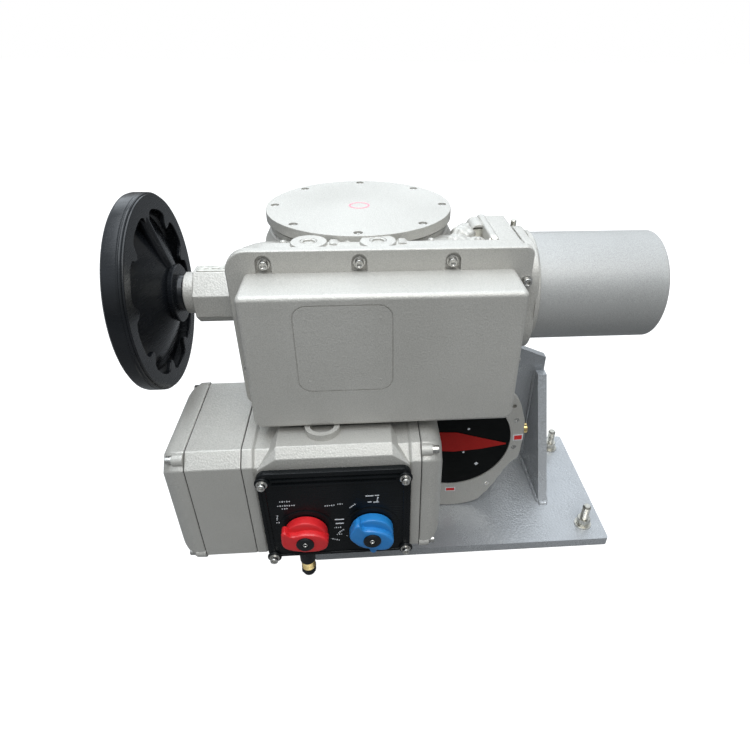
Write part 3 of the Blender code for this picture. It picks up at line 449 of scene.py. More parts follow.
def screws(name, spots, to, radius, height, key, washer_radius):
    """A set of socket screws, each on its washer."""
    bm = bmesh.new()
    thick = 1.2
    head = socket_head(radius, height, key)
    for i, spot in enumerate(spots):
        stamp(bm, washer(washer_radius, radius * 0.5, thick), spot, to)
        stamp(bm, head, Vector(spot) + Vector(to) * thick, to, 17.0 * i)
    piece(name, bm, STEEL)


# --------------------------------------------------------------- foot bracket

def bead(name, start, end, radius):
    """A weld run: a thick line with the ripples of each puddle, sunk in the corner it fills."""
    start, end = Vector(start), Vector(end)
    along = (end - start).normalized()
    side = along.orthogonal().normalized()
    other = along.cross(side)
    length = (end - start).length
    steps = max(8, int(length / 2.2))
    loops = [[start]]
    for k in range(steps + 1):
        share = k / steps
        here = start + (end - start) * share
        swell = radius * (1.0 + 0.10 * math.sin(k * 2.1) + 0.07 * math.sin(k * 0.73 + 1.0))
        swell *= min(1.0, 0.45 + 6.0 * min(share, 1.0 - share))
        loops.append([here + (side * math.cos(a) + other * math.sin(a)) * swell
                      for a in [2.0 * math.pi * i / 12 for i in range(12)]])
    loops.append([end])
    bm = bmesh.new()
    loft(bm, loops)
    piece("weld_" + name, bm, PLATE, angle=70.0)


def make_foot():
    front, back, foot = BRACKET_FRONT, BRACKET_BACK, BASE_TOP
    for name, x, radius in (("rib_outer", RIB_OUTER, 4.2), ("rib_inner", RIB_INNER, 4.0),
                            ("left_rib", -176.0, 4.0),
                            ("left_rib_outer", -190.0, 4.0)):
        bead(name, (x, RIB_TOE, foot), (x, front - 0.5, foot), radius)
    bead("rib_toe", (133.0, RIB_TOE - 0.5, foot), (148.4, RIB_TOE - 0.5, foot), 4.2)
    for name, x, radius in (("rib_plate", RIB_INNER, 3.2), ("rib_plate_outer", RIB_OUTER, 2.6)):
        bead(name, (x, front, 18.0), (x, front, 197.0), radius)
    bead("plate_front", (-189.0, front, foot), (133.0, front, foot), 4.0)
    bead("plate_back", (-189.0, back, foot), (147.0, back, foot), 4.4)
    studs = [(190.7, -88.5), (190.7, 88.5), (-206.5, -88.5), (-206.5, 96.0)]
    for i, (x, y) in enumerate(studs):
        bm = bmesh.new()
        rows = [(0.0, 0.0), (0.0, 5.4)]
        level = 10.0
        while level < 37.0:
            rows += [(level, 5.35), (level + 0.45, 6.0), (level + 0.85, 6.0)]
            level += 1.3
        rows += [(38.2, 5.3), (39.4, 4.6), (39.4, 0.0)]
        foot = BASE_TOP + 0.1
        stamp(bm, spun(rows), (x, y, foot))
        stamp(bm, washer(12.6, 6.2, 2.4), (x, y, foot))
        stamp(bm, washer(10.2, 6.2, 2.2), (x, y, foot + 2.4))
        rows = [(0.0, 5.6), (0.0, 9.2), (0.7, 10.2, "h"), (8.6, 10.2, "h"), (9.4, 9.0), (9.4, 6.2),
                (8.8, 5.6), (0.0, 5.6)]
        stamp(bm, spun(rows), (x, y, foot + 4.6), spin=20.0 + 33.0 * i)
        piece("stud_%d" % (i + 1), bm, ZINC, stands_for=("anchor_bolt_%d" % (i + 1),))


# --------------------------------------------------------------- part-turn gearbox

def polar(angle, radius, y):
    x, z = around(OUT_X, OUT_Z, radius, angle)
    return x, y, z


def ring_radius(angle):
    """The dial ring's edge: nearly round, waisted at its sides and deep at its foot."""
    folded = (angle + 180.0) % 360.0 - 180.0
    folded = folded if abs(folded) <= 90.0 else math.copysign(180.0, folded) - folded
    waist = [(90.0, 112.0), (60.0, 116.0), (43.0, 115.0), (21.0, 107.6), (9.5, 103.8), (-5.7, 102.4),
             (-14.0, 104.4)]
    waist += [(-20.0, 105.4), (-26.0, 99.8), (-35.0, 99.4), (-44.0, 103.6), (-54.0, 111.5), (-63.0, 120.5)]
    waist += [(-70.0, 128.6), (-76.0, 130.4), (-90.0, 130.6)]
    for first, second in zip(waist[:-1], waist[1:]):
        if second[0] <= folded <= first[0]:
            share = (folded - second[0]) / (first[0] - second[0])
            share = share * share * (3.0 - 2.0 * share)
            return second[1] + share * (first[1] - second[1])
    return 112.0


def make_gearbox():
    bm = bmesh.new()
    outline = arc(OUT_X, OUT_Z, 101.0, -60.0, 40.0, 40) + arc(OUT_X, OUT_Z, 111.0, 47.0, 294.0, 72)
    prism(bm, outline, "y", DIAL_Y + 10.0, 69.2)
    soften(bm, 3.0)
    piece("gearbox_case", bm, PAINT, stands_for=("gearbox_housing",))
    bm = bmesh.new()
    profile = [(58.0, 0.0), (58.0, 33.0), (61.0, 36.0), (214.0, 36.0), (228.0, 38.0), (235.0, 44.0),
               (236.0, 48.5)]
    profile += [(238.0, 50.0), (248.5, 50.0), (249.8, 48.5), (249.8, 0.0)]
    lathe(bm, profile, "z", (DRIVE_X, DRIVE_Y))
    piece("gearbox_tower", bm, PAINT)
    bm = bmesh.new()
    prism(bm, corners(DRIVE_X - 30.0, DRIVE_X + 20.0, 75.0, 230.0, (6.0, 6.0, 6.0, 6.0)), "y", 1.0, 30.0)
    soften(bm, 2.0)
    piece("gearbox_pad", bm, PAINT)
    bm = bmesh.new()
    profile = [(250.1, 31.0), (250.1, 48.5), (251.4, 50.0), (260.4, 50.0), (261.7, 48.5), (261.7, 31.0)]
    lathe(bm, profile, "z", (DRIVE_X, DRIVE_Y), 96, True)
    piece("adapter_ring", bm, PAINT, stands_for=("drive_adapter",))
    bm = bmesh.new()
    lathe(bm, [(47.0, 0.0), (47.0, 32.5), (48.5, 34.0), (57.7, 34.0), (57.7, 0.0)], "z", (DRIVE_X, DRIVE_Y))
    for i in range(4):
        stamp(bm, hex_head(5.5, 4.5), (*around(DRIVE_X, DRIVE_Y, 25.0, 45.0 + 90.0 * i), 47.0), DOWN)
    piece("tower_cap", bm, PAINT, stands_for=("gearbox_end_cap",))
    bm = bmesh.new()
    for i in range(8):
        stamp(bm, hex_head(5.2, 5.0), (*around(DRIVE_X, DRIVE_Y, 43.6, 22.5 + 45.0 * i), 237.6), DOWN,
              11.0 * i)
    for angle in (35.0, 145.0, 215.0, 325.0):
        stamp(bm, washer(10.5, 4.0, 1.8), polar(angle, 84.0, BRACKET_BACK - 0.1), BACK)
        stamp(bm, hex_head(8.6, 6.4), polar(angle, 84.0, BRACKET_BACK + 1.7), BACK, angle)
    piece("gearbox_bolts", bm, ZINC)

    bm = bmesh.new()
    outline = [around(OUT_X, OUT_Z, ring_radius(a), a) for a in range(-90, 270, 3)]
    inner = [around(OUT_X, OUT_Z, 83.9, a) for a in range(-90, 270, 3)]
    ring(bm, outline, inner, "y", DIAL_Y, DIAL_Y + 9.6)
    soften(bm, 1.0, 2, 60.0)
    cover = to_object("dial_ring", bm)
    bm = bmesh.new()
    spots = [(-8.6, 91.8), (-57.1, 103.2), (22.4, 96.4), (-122.9, 103.2), (-171.4, 91.8), (157.6, 96.4)]
    for angle, radius in spots:
        rows = [(-1.0, 0.0), (-1.0, 4.6), (1.6, 2.9), (4.5, 2.9), (4.5, 0.0)]
        stamp(bm, spun(rows), polar(angle, radius, DIAL_Y), BACK)
    for angle in (37.0, 143.0):
        stamp(bm, spun([(-1.0, 0.0), (-1.0, 3.4), (6.0, 3.4), (6.0, 0.0)]), polar(angle, 103.6, DIAL_Y), BACK)
    carve(cover, bm)
    dress(cover, PAINT, stands_for=("dial_ring_cover",))
    bm = bmesh.new()
    for angle, radius in spots:
        rows = [(0.0, 0.0), (0.0, 2.8), (2.4, 4.2), (3.0, 4.0), (3.0, 2.3), (2.6, 1.9, "h"), (0.9, 1.9, "h"),
                (0.9, 0.0)]
        stamp(bm, spun(rows), polar(angle, radius, DIAL_Y + 2.9), FRONT, angle)
    piece("dial_ring_screws", bm, STEEL)
    bm = bmesh.new()
    rear = DIAL_Y + 9.8
    lathe(bm, [(rear, 60.0), (rear, 83.6), (rear + 0.1, 83.6), (rear + 0.1, 60.0)], "y", (OUT_X, OUT_Z), 96,
          True)
    piece("dial_well_shadow", bm, RUBBER_AND_SHADE)

    bm = bmesh.new()
    rows = [(0.0, 0.0), (0.0, 6.4), (1.4, 6.4), (1.6, 7.9), (6.2, 7.9), (7.0, 7.0), (7.0, 3.4),
            (6.6, 3.2, "h"),
            (3.4, 3.2, "h"), (3.4, 0.0)]
    stamp(bm, spun(rows), (OUT_X + 104.0, -22.0, OUT_Z + 9.5), RIGHT)
    piece("brass_plug", bm, BRASS, stands_for=("stop_plug",))


def label(bm, angle, radius, wide, tall, thick):
    """A small printed rectangle on the dial ring, square to the radius."""
    edge = oblong(*around(OUT_X, OUT_Z, radius, angle), wide, tall, angle)
    prism(bm, edge, "y", DIAL_Y - thick, DIAL_Y + 0.1)


def make_dial():
    bm = bmesh.new()
    face = DIAL_Y + 0.9
    profile = [(face, 0.0), (face, 82.6), (face + 0.6, 83.2), (DIAL_Y + 4.0, 83.2), (DIAL_Y + 4.0, 0.0)]
    lathe(bm, profile, "y", (OUT_X, OUT_Z), 128)
    piece("dial_face", bm, DIAL, "output", ("pointer_disc",))
    bm = bmesh.new()
    outline = [(-60.0, 0.0), (-38.0, -17.0), (2.0, -18.0), (40.0, -11.5), (78.5, -0.8), (78.5, 0.8),
               (40.0, 9.0)]
    outline += [(2.0, 18.0), (-38.0, 17.0)]
    prism(bm, turned(outline, OUT_X, OUT_Z, -5.0), "y", DIAL_Y - 0.1, face)
    piece("dial_arrow", bm, POINTER, "output", ("pointer_arrow",))
    bm = bmesh.new()
    for angle, radius, size in ((49.0, 31.0, 1.9), (-53.5, 26.0, 1.7), (229.0, 31.0, 1.9)):
        rivet = spun([(0.0, 0.0), (0.0, size), (0.5, size * 0.8), (0.8, 0.0)], 16)
        stamp(bm, rivet, polar(angle, radius, face), FRONT)
    for angle in (-50.6, 129.4):
        stamp(bm, spun([(0.0, 0.0), (0.0, 3.4), (0.5, 3.0), (0.5, 0.0)], 4), polar(angle, 58.0, face), FRONT)
    piece("dial_rivets", bm, WHITE, "output")
    red = bmesh.new()
    white = bmesh.new()
    for angle, radius, wide, tall in ((2.8, 95.0, 14.5, 11.0), (-90.2, 95.6, 8.4, 16.0)):
        label(white, angle, radius, wide, tall, 0.35)
        label(red, angle, radius, wide - 3.0, tall - 3.0, 0.45)
    piece("travel_marks", red, RED_MARK)
    piece("travel_marks_light", white, WHITE)


def make_lever():
    bm = bmesh.new()
    outline = arc(OUT_X, OUT_Z, 34.0, 167.0, 373.0, 44)
    outline += arc(OUT_X, OUT_Z + 120.0, 20.0, 7.0, 173.0, 30)
    prism(bm, outline, "y", 92.0, 110.0)
    soften(bm, 1.4)
    arm = to_object("rear_lever", bm)
    bm = bmesh.new()
    for rise, radius, seg in ((0.0, 18.3, 48), (120.0, 8.0, 32)):
        lathe(bm, [(85.0, 0.0), (85.0, radius), (118.0, radius), (118.0, 0.0)], "y", (OUT_X, OUT_Z + rise),
              seg)
    carve(arm, bm)
    dress(arm, PLATE, "output", ("lever_arm",))
    bm = bmesh.new()
    rows = [(0.0, 0.0), (0.0, 24.8), (1.2, 26.0), (3.0, 26.0), (4.0, 25.0), (4.0, 0.0)]
    stamp(bm, spun(rows, 48), (OUT_X, 114.3, OUT_Z), BACK)
    stamp(bm, washer(11.0, 5.0, 2.0), (OUT_X, 118.2, OUT_Z), BACK)
    stamp(bm, hex_head(9.4, 7.0), (OUT_X, 120.1, OUT_Z), BACK, 10.0)
    piece("shaft_end_plate", bm, STEEL, "output", ("lever_retainer",))


# ---------------------------------------------------------------- main casting

def make_housing():
    bm = bmesh.new()
    prism(bm, corners(-273.0, 44.2, 275.6, LEDGE_TOP, (9.0, 8.0, 36.0, 15.0)), "y", -90.5, -71.5)
    soften(bm, 2.2)
    piece("casting_flange", bm, PAINT, stands_for=("main_housing",))

    bm = bmesh.new()
    profile = [(262.0, 0.0), (262.0, 56.0), (264.0, 58.0), (284.0, 60.0), (292.0, 72.0), (298.0, 96.0),
               (304.0, 108.0)]
    profile += [(400.0, 116.0), (424.0, 121.0), (434.0, 119.0), (444.0, 113.6), (447.0, 112.4),
                (448.0, 109.6)]
    profile += [(450.0, 109.4), (451.0, 111.4), (456.4, 111.4), (457.2, 110.4), (457.2, 0.0)]
    # The flare is cut flat behind, in line with the cover.
    lathe(bm, profile, "z", (DRIVE_X, DRIVE_Y), 128)
    for vert in bm.verts:
        vert.co.y = min(vert.co.y, DRIVE_Y + COVER_R - 0.5)
    piece("casting_turret", bm, PAINT)

    bm = bmesh.new()
    profile = [(-277.4, 0.0), (-277.4, 48.0), (-275.0, 52.0), (-262.0, 56.0), (-250.0, 58.0), (30.0, 58.0),
               (38.0, 64.0)]
    profile += [(46.4, 64.0), (46.4, 0.0)]
    lathe(bm, profile, "x", (SHAFT_Y, SHAFT_Z))
    piece("casting_barrel", bm, PAINT)

    bm = bmesh.new()
    front = corners(-266.0, 34.0, 292.0, 463.0, (12.0, 12.0, 18.0, 14.0))
    middle = corners(-258.0, 26.0, 300.0, 458.0, (20.0, 20.0, 26.0, 20.0))
    rear = corners(-244.0, 8.0, 322.0, 450.0, (30.0, 30.0, 34.0, 30.0))
    loft(bm,
         [[place("y", y, u, v) for u, v in loop] for loop,
          y in ((front, -74.0), (middle, -58.0), (rear, -6.0))])
    soften(bm, 4.0, 3, 30.0)
    piece("casting_web", bm, PAINT)

    bm = bmesh.new()
    outline = [(-74.0, 340.0), (24.0, 340.0), (39.0, 356.0), (39.0, 450.0), (31.0, 460.5), (-74.0, 460.5)]
    prism(bm, outline, "x", 18.0, 44.0)
    soften(bm, 2.4)
    piece("casting_rail", bm, PAINT)
    bm = bmesh.new()
    outline = [(-56.0, 400.0), (36.0, 400.0), (36.0, 455.0), (31.0, 462.6), (-46.0, 462.6), (-56.0, 455.0)]
    prism(bm, outline, "x", 9.5, 19.0)
    soften(bm, 2.8)
    piece("casting_rib", bm, PAINT)
    bm = bmesh.new()
    for spot, radius, squash in (((-14.0, -6.0, 450.0), 15.0, 0.62), ((-25.0, -30.0, 451.0), 13.0, 0.5),
                                 ((-3.0, -40.0, 452.0), 10.0, 0.55), ((-6.0, 14.0, 448.0), 13.0, 0.6)):
        mesh = bmesh.new()
        bmesh.ops.create_icosphere(mesh, subdivisions=4, radius=radius)
        for vert in mesh.verts:
            vert.co.z *= squash
            vert.co *= 1.0 + 0.10 * math.sin(vert.co.x * 0.5) * math.cos(vert.co.y * 0.42)
        stamp(bm, mesh, spot)
        mesh.free()
    for x, y in ((-222.0, -66.0), (-152.0, -66.0), (-60.0, -66.0), (-8.0, -66.0)):
        lathe(bm, [(448.0, 12.0), (456.0, 8.0), (462.0, 5.0), (466.0, 3.4), (467.2, 0.0)], "z", (x, y), 32)
    piece("casting_lumps", bm, PAINT, angle=60.0)

    bm = bmesh.new()
    arch = arc(5.5, 450.5, 11.0, 0.0, 180.0, 20) + [(-5.5, 430.0), (16.5, 430.0)]
    prism(bm, arch, "y", -6.0, 26.0)
    soften(bm, 1.6, 3, 60.0)
    boss = to_object("plug_boss", bm)
    bm = bmesh.new()
    prism(bm, rounded(-2.4, 13.4, 443.0, 457.6, 3.0, 4), "y", -8.0, -1.5)
    carve(boss, bm)
    dress(boss, PAINT)
    bm = bmesh.new()
    prism(bm, rounded(-1.0, 12.0, 444.6, 456.0, 1.4, 3), "y", -8.0, -1.0)
    soften(bm, 0.7, 2)
    piece("square_plug", bm, ZINC)
    bm = bmesh.new()
    lean = Vector((0.0, -0.4, 1.0))
    stamp(bm, washer(5.6, 2.5, 1.0), (14.0, -51.0, 457.5), lean)
    stamp(bm, hex_head(4.4, 3.4), (14.0, -51.3, 458.4), lean)
    piece("rib_bolt", bm, ZINC)

    for side, x, y in (("left", -193.2, -77.6), ("right", -119.2, -77.6)):
        name = "plug_" + side
        bm = bmesh.new()
        profile = [(452.0, 0.0), (452.0, 24.0), (460.0, 21.6), (465.0, 20.2), (468.0, 19.8), (469.4, 19.0)]
        profile += [(469.8, 17.8), (469.8, 9.4), (469.0, 9.0), (462.5, 9.0), (462.5, 0.0)]
        lathe(bm, profile, "z", (x, y), 64)
        prism(bm, [(x + 17.0, 462.0), (x + 37.0, 462.0), (x + 29.0, 468.0), (x + 23.0, 468.0)], "y", -82.0,
              -68.0)
        piece(name + "_boss", bm, PAINT)
        bm = bmesh.new()
        rows = [(0.0, 0.0), (0.0, 8.8), (2.0, 8.8), (2.4, 8.4), (2.4, 8.0), (1.6, 7.2, "h"), (-4.0, 7.2, "h")]
        stamp(bm, spun(rows + [(-4.6, 0.0)], 48), (x, y, 467.4), spin=12.0)
        # A dark hexagon disc inside the plug's socket, above the socket's true bottom: painted shade standing for
        # the shadow in the socket.
        floor = bmesh.new()
        rows = [(0.0, 0.0), (0.0, 6.7, "h"), (1.0, 6.7, "h"), (1.0, 0.0)]
        stamp(floor, spun(rows, 48), (x, y, 464.6), spin=12.0)
        piece(name + "_socket_painted_shade", floor, RUBBER_AND_SHADE)
        piece(name, bm, PAINT, stands_for=("blanking_plug_" + side,))


def make_top():
    centre = (DRIVE_X, DRIVE_Y)
    bm = bmesh.new()
    profile = [(459.0, 0.0), (459.0, COVER_R - 1.4), (460.2, COVER_R), (COVER_TOP - 1.3, COVER_R),
               (COVER_TOP - 0.3, COVER_R - 0.4), (COVER_TOP, COVER_R - 1.0), (COVER_TOP, 0.0)]
    lathe(bm, profile, "z", centre, 160)
    cover = to_object("round_cover", bm)
    spots = [around(DRIVE_X, DRIVE_Y, 104.6, 45.0 * i - 1.0) for i in range(8)]
    bm = bmesh.new()
    for x, y in spots:
        rows = [(0.0, 0.0), (0.0, 3.2), (2.6, 3.2), (3.4, 5.3), (8.0, 5.3), (8.0, 0.0)]
        stamp(bm, spun(rows, 32), (x, y, COVER_TOP - 6.5))
    carve(cover, bm)
    dress(cover, PAINT, stands_for=("top_cover",))
    bm = bmesh.new()
    for i, (x, y) in enumerate(spots):
        rows = [(0.0, 0.0), (0.0, 4.3), (1.7, 4.3), (2.1, 3.9), (2.1, 2.8), (1.8, 2.5, "h"), (0.3, 2.5, "h")]
        stamp(bm, spun(rows + [(0.3, 0.0)]), (x, y, COVER_TOP - 3.9), spin=19.0 * i)
    piece("cover_screws", bm, STEEL)
    bm = bmesh.new()
    outer, inner = (arc(DRIVE_X, DRIVE_Y - 4.0, radius, 0.0, 360.0, 48)[:-1] for radius in (13.0, 10.5))
    ring(bm, outer, inner, "z", COVER_TOP - 0.2, COVER_TOP + 0.2)
    piece("cover_mark", bm, PALE_RED)


def make_terminal_box():
    x0, x1, z0, z1, y0 = -261.3, 28.7, 285.0, 445.0, -162.5
    loops = []
    front = 5.5
    stations = [(-97.0, 0.0)]
    for a in range(0, 91, 15):
        inset, rise = around(0.0, 0.0, front, a)
        stations.append((y0 + front - rise, front - inset))
    for y, inset in stations:
        radii = tuple(max(r - inset, 0.8) for r in (10.0, 6.0, 6.0, 10.0))
        shape = corners(x0 + inset, x1 - inset, z0 + inset, z1 - inset, radii, 8)
        loops.append([place("y", y, u, v) for u, v in shape])
    bm = bmesh.new()
    loft(bm, loops)
    box = to_object("terminal_box", bm)
    bm = bmesh.new()
    ring(bm, rounded(-208.2, -107.6, 333.4, 435.4, 14.6, 8), rounded(-207.1, -108.7, 334.5, 434.3, 13.5, 8),
         "y", y0 - 1.0, y0 + 0.9)
    carve(box, bm)
    dress(box, PAINT, stands_for=("terminal_cover",))
    bm = bmesh.new()
    for x in (-195.7, -120.4):
        for z in (346.8, 420.6):
            stamp(bm, spun([(-0.5, 0.0), (-0.5, 1.5), (0.25, 1.2), (0.5, 0.0)], 16), (x, y0, z), FRONT)
    piece("plate_pips", bm, PAINT)

    bm = bmesh.new()
    prism(bm, corners(-279.3, 46.7, 274.0, 469.5, (11.0, 9.0, 23.0, 16.0), 8), "y", -104.5, -92.5)
    soften(bm, 1.8)
    rim = to_object("terminal_rim", bm)
    columns = (-239.3, -139.9, -40.8)
    side = [(41.2, 430.8), (41.2, 330.0), (-270.4, 330.0)] + [(x, 279.9) for x in columns]
    bm = bmesh.new()
    for x in columns:
        shape = arc(0.0, 0.0, 8.4, 0.0, 180.0, 14) + [(-8.4, -12.0), (8.4, -12.0)]
        prism(bm, turned(shape, x, 456.4, 0.0), "y", -108.0, -99.2)
    carve(rim, bm)
    dress(rim, PAINT, angle=45.0)
    spots = [(x, -99.4, 456.4 - 2.8) for x in columns] + [(x, -104.4, z) for x, z in side]
    screws("rim_screws", spots, FRONT, 4.9, 5.2, 2.7, 6.6)


# --------------------------------------------------------- handwheel and motor

def make_neck():
    bm = bmesh.new()
    shape = [(-29.7, -18.0), (-18.0, -29.7), (18.0, -29.7), (29.7, -18.0), (29.7, 8.0), (9.5, 29.7),
             (-9.5, 29.7),
             (-29.7, 8.0)]
    prism(bm, turned(shape, SHAFT_Y, SHAFT_Z, 0.0), "x", -331.8, -277.0)
    soften(bm, 1.2, 2, 25.0)
    piece("neck_block", bm, PAINT, stands_for=("bearing_neck",))
    bm = bmesh.new()
    prism(bm, rounded(-328.0, -287.0, SHAFT_Y - 8.4, SHAFT_Y + 8.4, 2.0, 3), "z", SHAFT_Z + 29.4,
          SHAFT_Z + 30.6)
    soften(bm, 0.4, 2)
    for x, wide in ((-318.0, 6.0), (-307.0, 9.0), (-296.0, 5.0)):
        edge = rounded(x - wide / 2, x + wide / 2, SHAFT_Y - 2.4, SHAFT_Y + 2.4, 1.0, 3)
        prism(bm, edge, "z", SHAFT_Z + 30.3, SHAFT_Z + 31.0)
    piece("neck_plate", bm, ZINC)
    bm = bmesh.new()
    profile = [(-344.4, 13.2), (-344.4, 22.8), (-343.0, 24.4), (-332.9, 24.4), (-332.1, 23.6), (-332.1, 13.2)]
    lathe(bm, profile, "x", (SHAFT_Y, SHAFT_Z), 64, True)
    piece("collar", bm, PAINT, stands_for=("neck_collar",))


def lobe(angle):
    """How far a finger tab reaches in from the rim, from 0 to 1."""
    off = abs((angle - 9.0 + 20.0) % 40.0 - 20.0)
    tab = math.sqrt(max(0.0, 1.0 - (off / 5.6) ** 2))
    return max(tab, 0.5 * math.exp(-((off / 6.5) ** 2)))


def make_handwheel():
    centre = (SHAFT_Y, SHAFT_Z)
    bm = bmesh.new()
    profile = [(-386.0, 12.5), (-386.0, 21.0), (-384.5, 22.5), (-368.0, 25.0), (-391.0, 86.0), (-393.6, 90.0),
               (-395.2, 94.0), (-395.3, 107.0), (-394.6, 111.0), (-392.4, 113.7), (-389.5, 114.5), (-378.6,
                                                                                                    114.5),
               (-377.6, 113.8), (-376.8, 113.8), (-375.8, 114.4), (-374.4, 114.3), (-373.6, 113.5), (-373.4,
                                                                                                     112.5),
               (-373.4, 98.0), (-384.0, 96.5), (-386.6, 92.0), (-358.6, 29.5), (-357.4, 33.4), (-353.0, 34.0),
               (-352.0, 33.0), (-351.6, 23.0), (-350.6, 21.6), (-346.0, 21.0), (-345.0, 20.0), (-345.0, 12.5)]
    lathe(bm, profile, "x", centre, 144, True)
    piece("wheel_body", bm, BLACK, "shaft", ("handwheel",), 30.0)
    bm = bmesh.new()
    count = 270
    outer = arc(SHAFT_Y, SHAFT_Z, 112.6, 0.0, 360.0, count)[:-1]
    angles = [360.0 * i / count for i in range(count)]
    inner = [around(SHAFT_Y, SHAFT_Z, 96.0 - 15.5 * lobe(angle), angle) for angle in angles]
    ring(bm, outer, inner, "x", -376.4, -371.3)
    soften(bm, 1.1, 3, 60.0)
    piece("wheel_face", bm, BLACK, "shaft", angle=50.0)
    bm = bmesh.new()
    turn = math.radians(89.0)
    out = Vector((0.0, math.cos(turn), math.sin(turn)))
    side = Vector((0.0, -math.sin(turn), math.cos(turn)))
    tilt = Vector((0.93, 0.0, 0.0)) + out * 0.36
    loops = []
    for share in [k / 16 for k in range(17)]:
        spine = Vector((-360.0 - 17.0 * share, centre[0], centre[1])) + out * (26.0 + 64.0 * share)
        wide = 4.4 + 4.4 * share
        loops.append([spine + side * (wide * math.cos(a)) + tilt * (6.0 * math.sin(a))
                      for a in [2.0 * math.pi * i / 20 for i in range(20)]])
    loft(bm, loops)
    piece("wheel_ribs", bm, BLACK, "shaft", angle=60.0)
    bm = bmesh.new()
    stamp(bm, washer(18.0, 9.0, 1.4), (-386.0, SHAFT_Y, SHAFT_Z), LEFT)
    rows = [(0.0, 0.0), (0.0, 11.0), (0.5, 12.6, "h"), (3.6, 12.6, "h"), (4.6, 10.8), (4.6, 0.0)]
    stamp(bm, spun(rows), (-387.4, SHAFT_Y, SHAFT_Z), LEFT)
    piece("wheel_nut", bm, ZINC, "shaft", ("handwheel_nut",))


def make_motor():
    centre = (SHAFT_Y, SHAFT_Z)
    bm = bmesh.new()
    angles = [360.0 * i / 144 for i in range(144)]
    lobed = [around(SHAFT_Y, SHAFT_Z, 71.0 - 5.0 * math.cos(math.radians(4.0 * angle)),
                    angle) for angle in angles]
    prism(bm, lobed, "x", 46.9, 59.0)
    soften(bm, 2.0, 3, 50.0)
    piece("motor_flange_plate", bm, PAINT, stands_for=("motor_flange",))
    bm = bmesh.new()
    edge = 2.5
    profile = [(60.0, 0.0), (60.0, MOTOR_R - 1.0), (61.0, MOTOR_R)]
    profile += arc(MOTOR_END - edge, MOTOR_R - edge, edge, 90.0, 0.0, 6) + [(MOTOR_END, 0.0)]
    lathe(bm, profile, "x", centre, 160)
    piece("motor_can", bm, SMOOTH_PAINT, stands_for=("motor_tube",))
    bm = bmesh.new()
    lathe(bm, [(57.0, 0.0), (57.0, 67.4), (61.5, 67.4), (63.0, 65.6), (63.0, 0.0)], "x", centre)
    piece("motor_spigot", bm, PAINT)
    bm = bmesh.new()
    for angle in (50.0, -45.0):
        y, z = around(SHAFT_Y, SHAFT_Z, 70.0, angle)
        stamp(bm, hex_head(5.6, 4.6), (46.8, y, z), LEFT, 15.0)
        stamp(bm, washer(6.6, 3.0, 1.2), (59.0, y, z), RIGHT)
        stamp(bm, hex_head(5.4, 4.2), (60.2, y, z), RIGHT, 20.0)
    stamp(bm, spun([(0.0, 0.0), (0.0, 3.4), (9.0, 3.4), (10.0, 2.6), (10.0, 0.0)]), (51.0, 8.0, 452.0))
    piece("motor_bolts", bm, ZINC)


# ------------------------------------------------------------ electronics unit

def ecu_outline(inset):
    """The case's section: a wide chamfer along the top front edge and small ones elsewhere."""
    wide, small = 15.0, 4.0
    y0, y1, z0, z1 = ECU_Y0 + inset, ECU_Y1 - inset, ECU_Z0 + inset, ECU_Z1 - inset
    return [(y0 + small, z0), (y1 - small, z0), (y1, z0 + small), (y1, z1 - small), (y1 - small, z1),
            (y0 + wide, z1),
            (y0, z1 - wide), (y0, z0 + small)]


def ecu_length(bm, stations):
    return loft(bm, [[place("x", x, u, v) for u, v in ecu_outline(inset)] for x, inset in stations])


def end_lid(name, seam, direction, cad, bulge):
    """A domed cover over one end of the case, with screw lugs standing at its corners."""
    bm = bmesh.new()
    skirt = 6.8
    rows = [(0.2, 0.0), (skirt, 0.0)]
    for angle in range(12, 91, 13):
        turn = math.radians(angle)
        rows.append((skirt + bulge * math.sin(turn), 27.0 * (1.0 - math.cos(turn))))
    rows.append((skirt + bulge, 40.0))
    ecu_length(bm, [(seam + direction.x * along, inset) for along, inset in rows])
    soften(bm, 1.6, 3, 22.0)
    piece(name, bm, PAINT, stands_for=(cad,), angle=30.0)
    spots = [(-47.0, 263.5), (-183.0, 263.0), (-187.5, 117.5), (-48.0, 118.0)]
    bm = bmesh.new()
    for y, z in spots:
        rows = [(0.0, 0.0), (0.0, 7.4), (11.0, 7.0), (12.4, 6.0), (12.4, 0.0)]
        stamp(bm, spun(rows, 32), (seam, y, z), direction)
    piece(name + "_lugs", bm, PAINT)
    spots = [(seam + direction.x * 12.2, y, z) for y, z in spots]
    screws(name + "_screws", spots, direction, 4.5, 6.6, 2.6, 5.6)


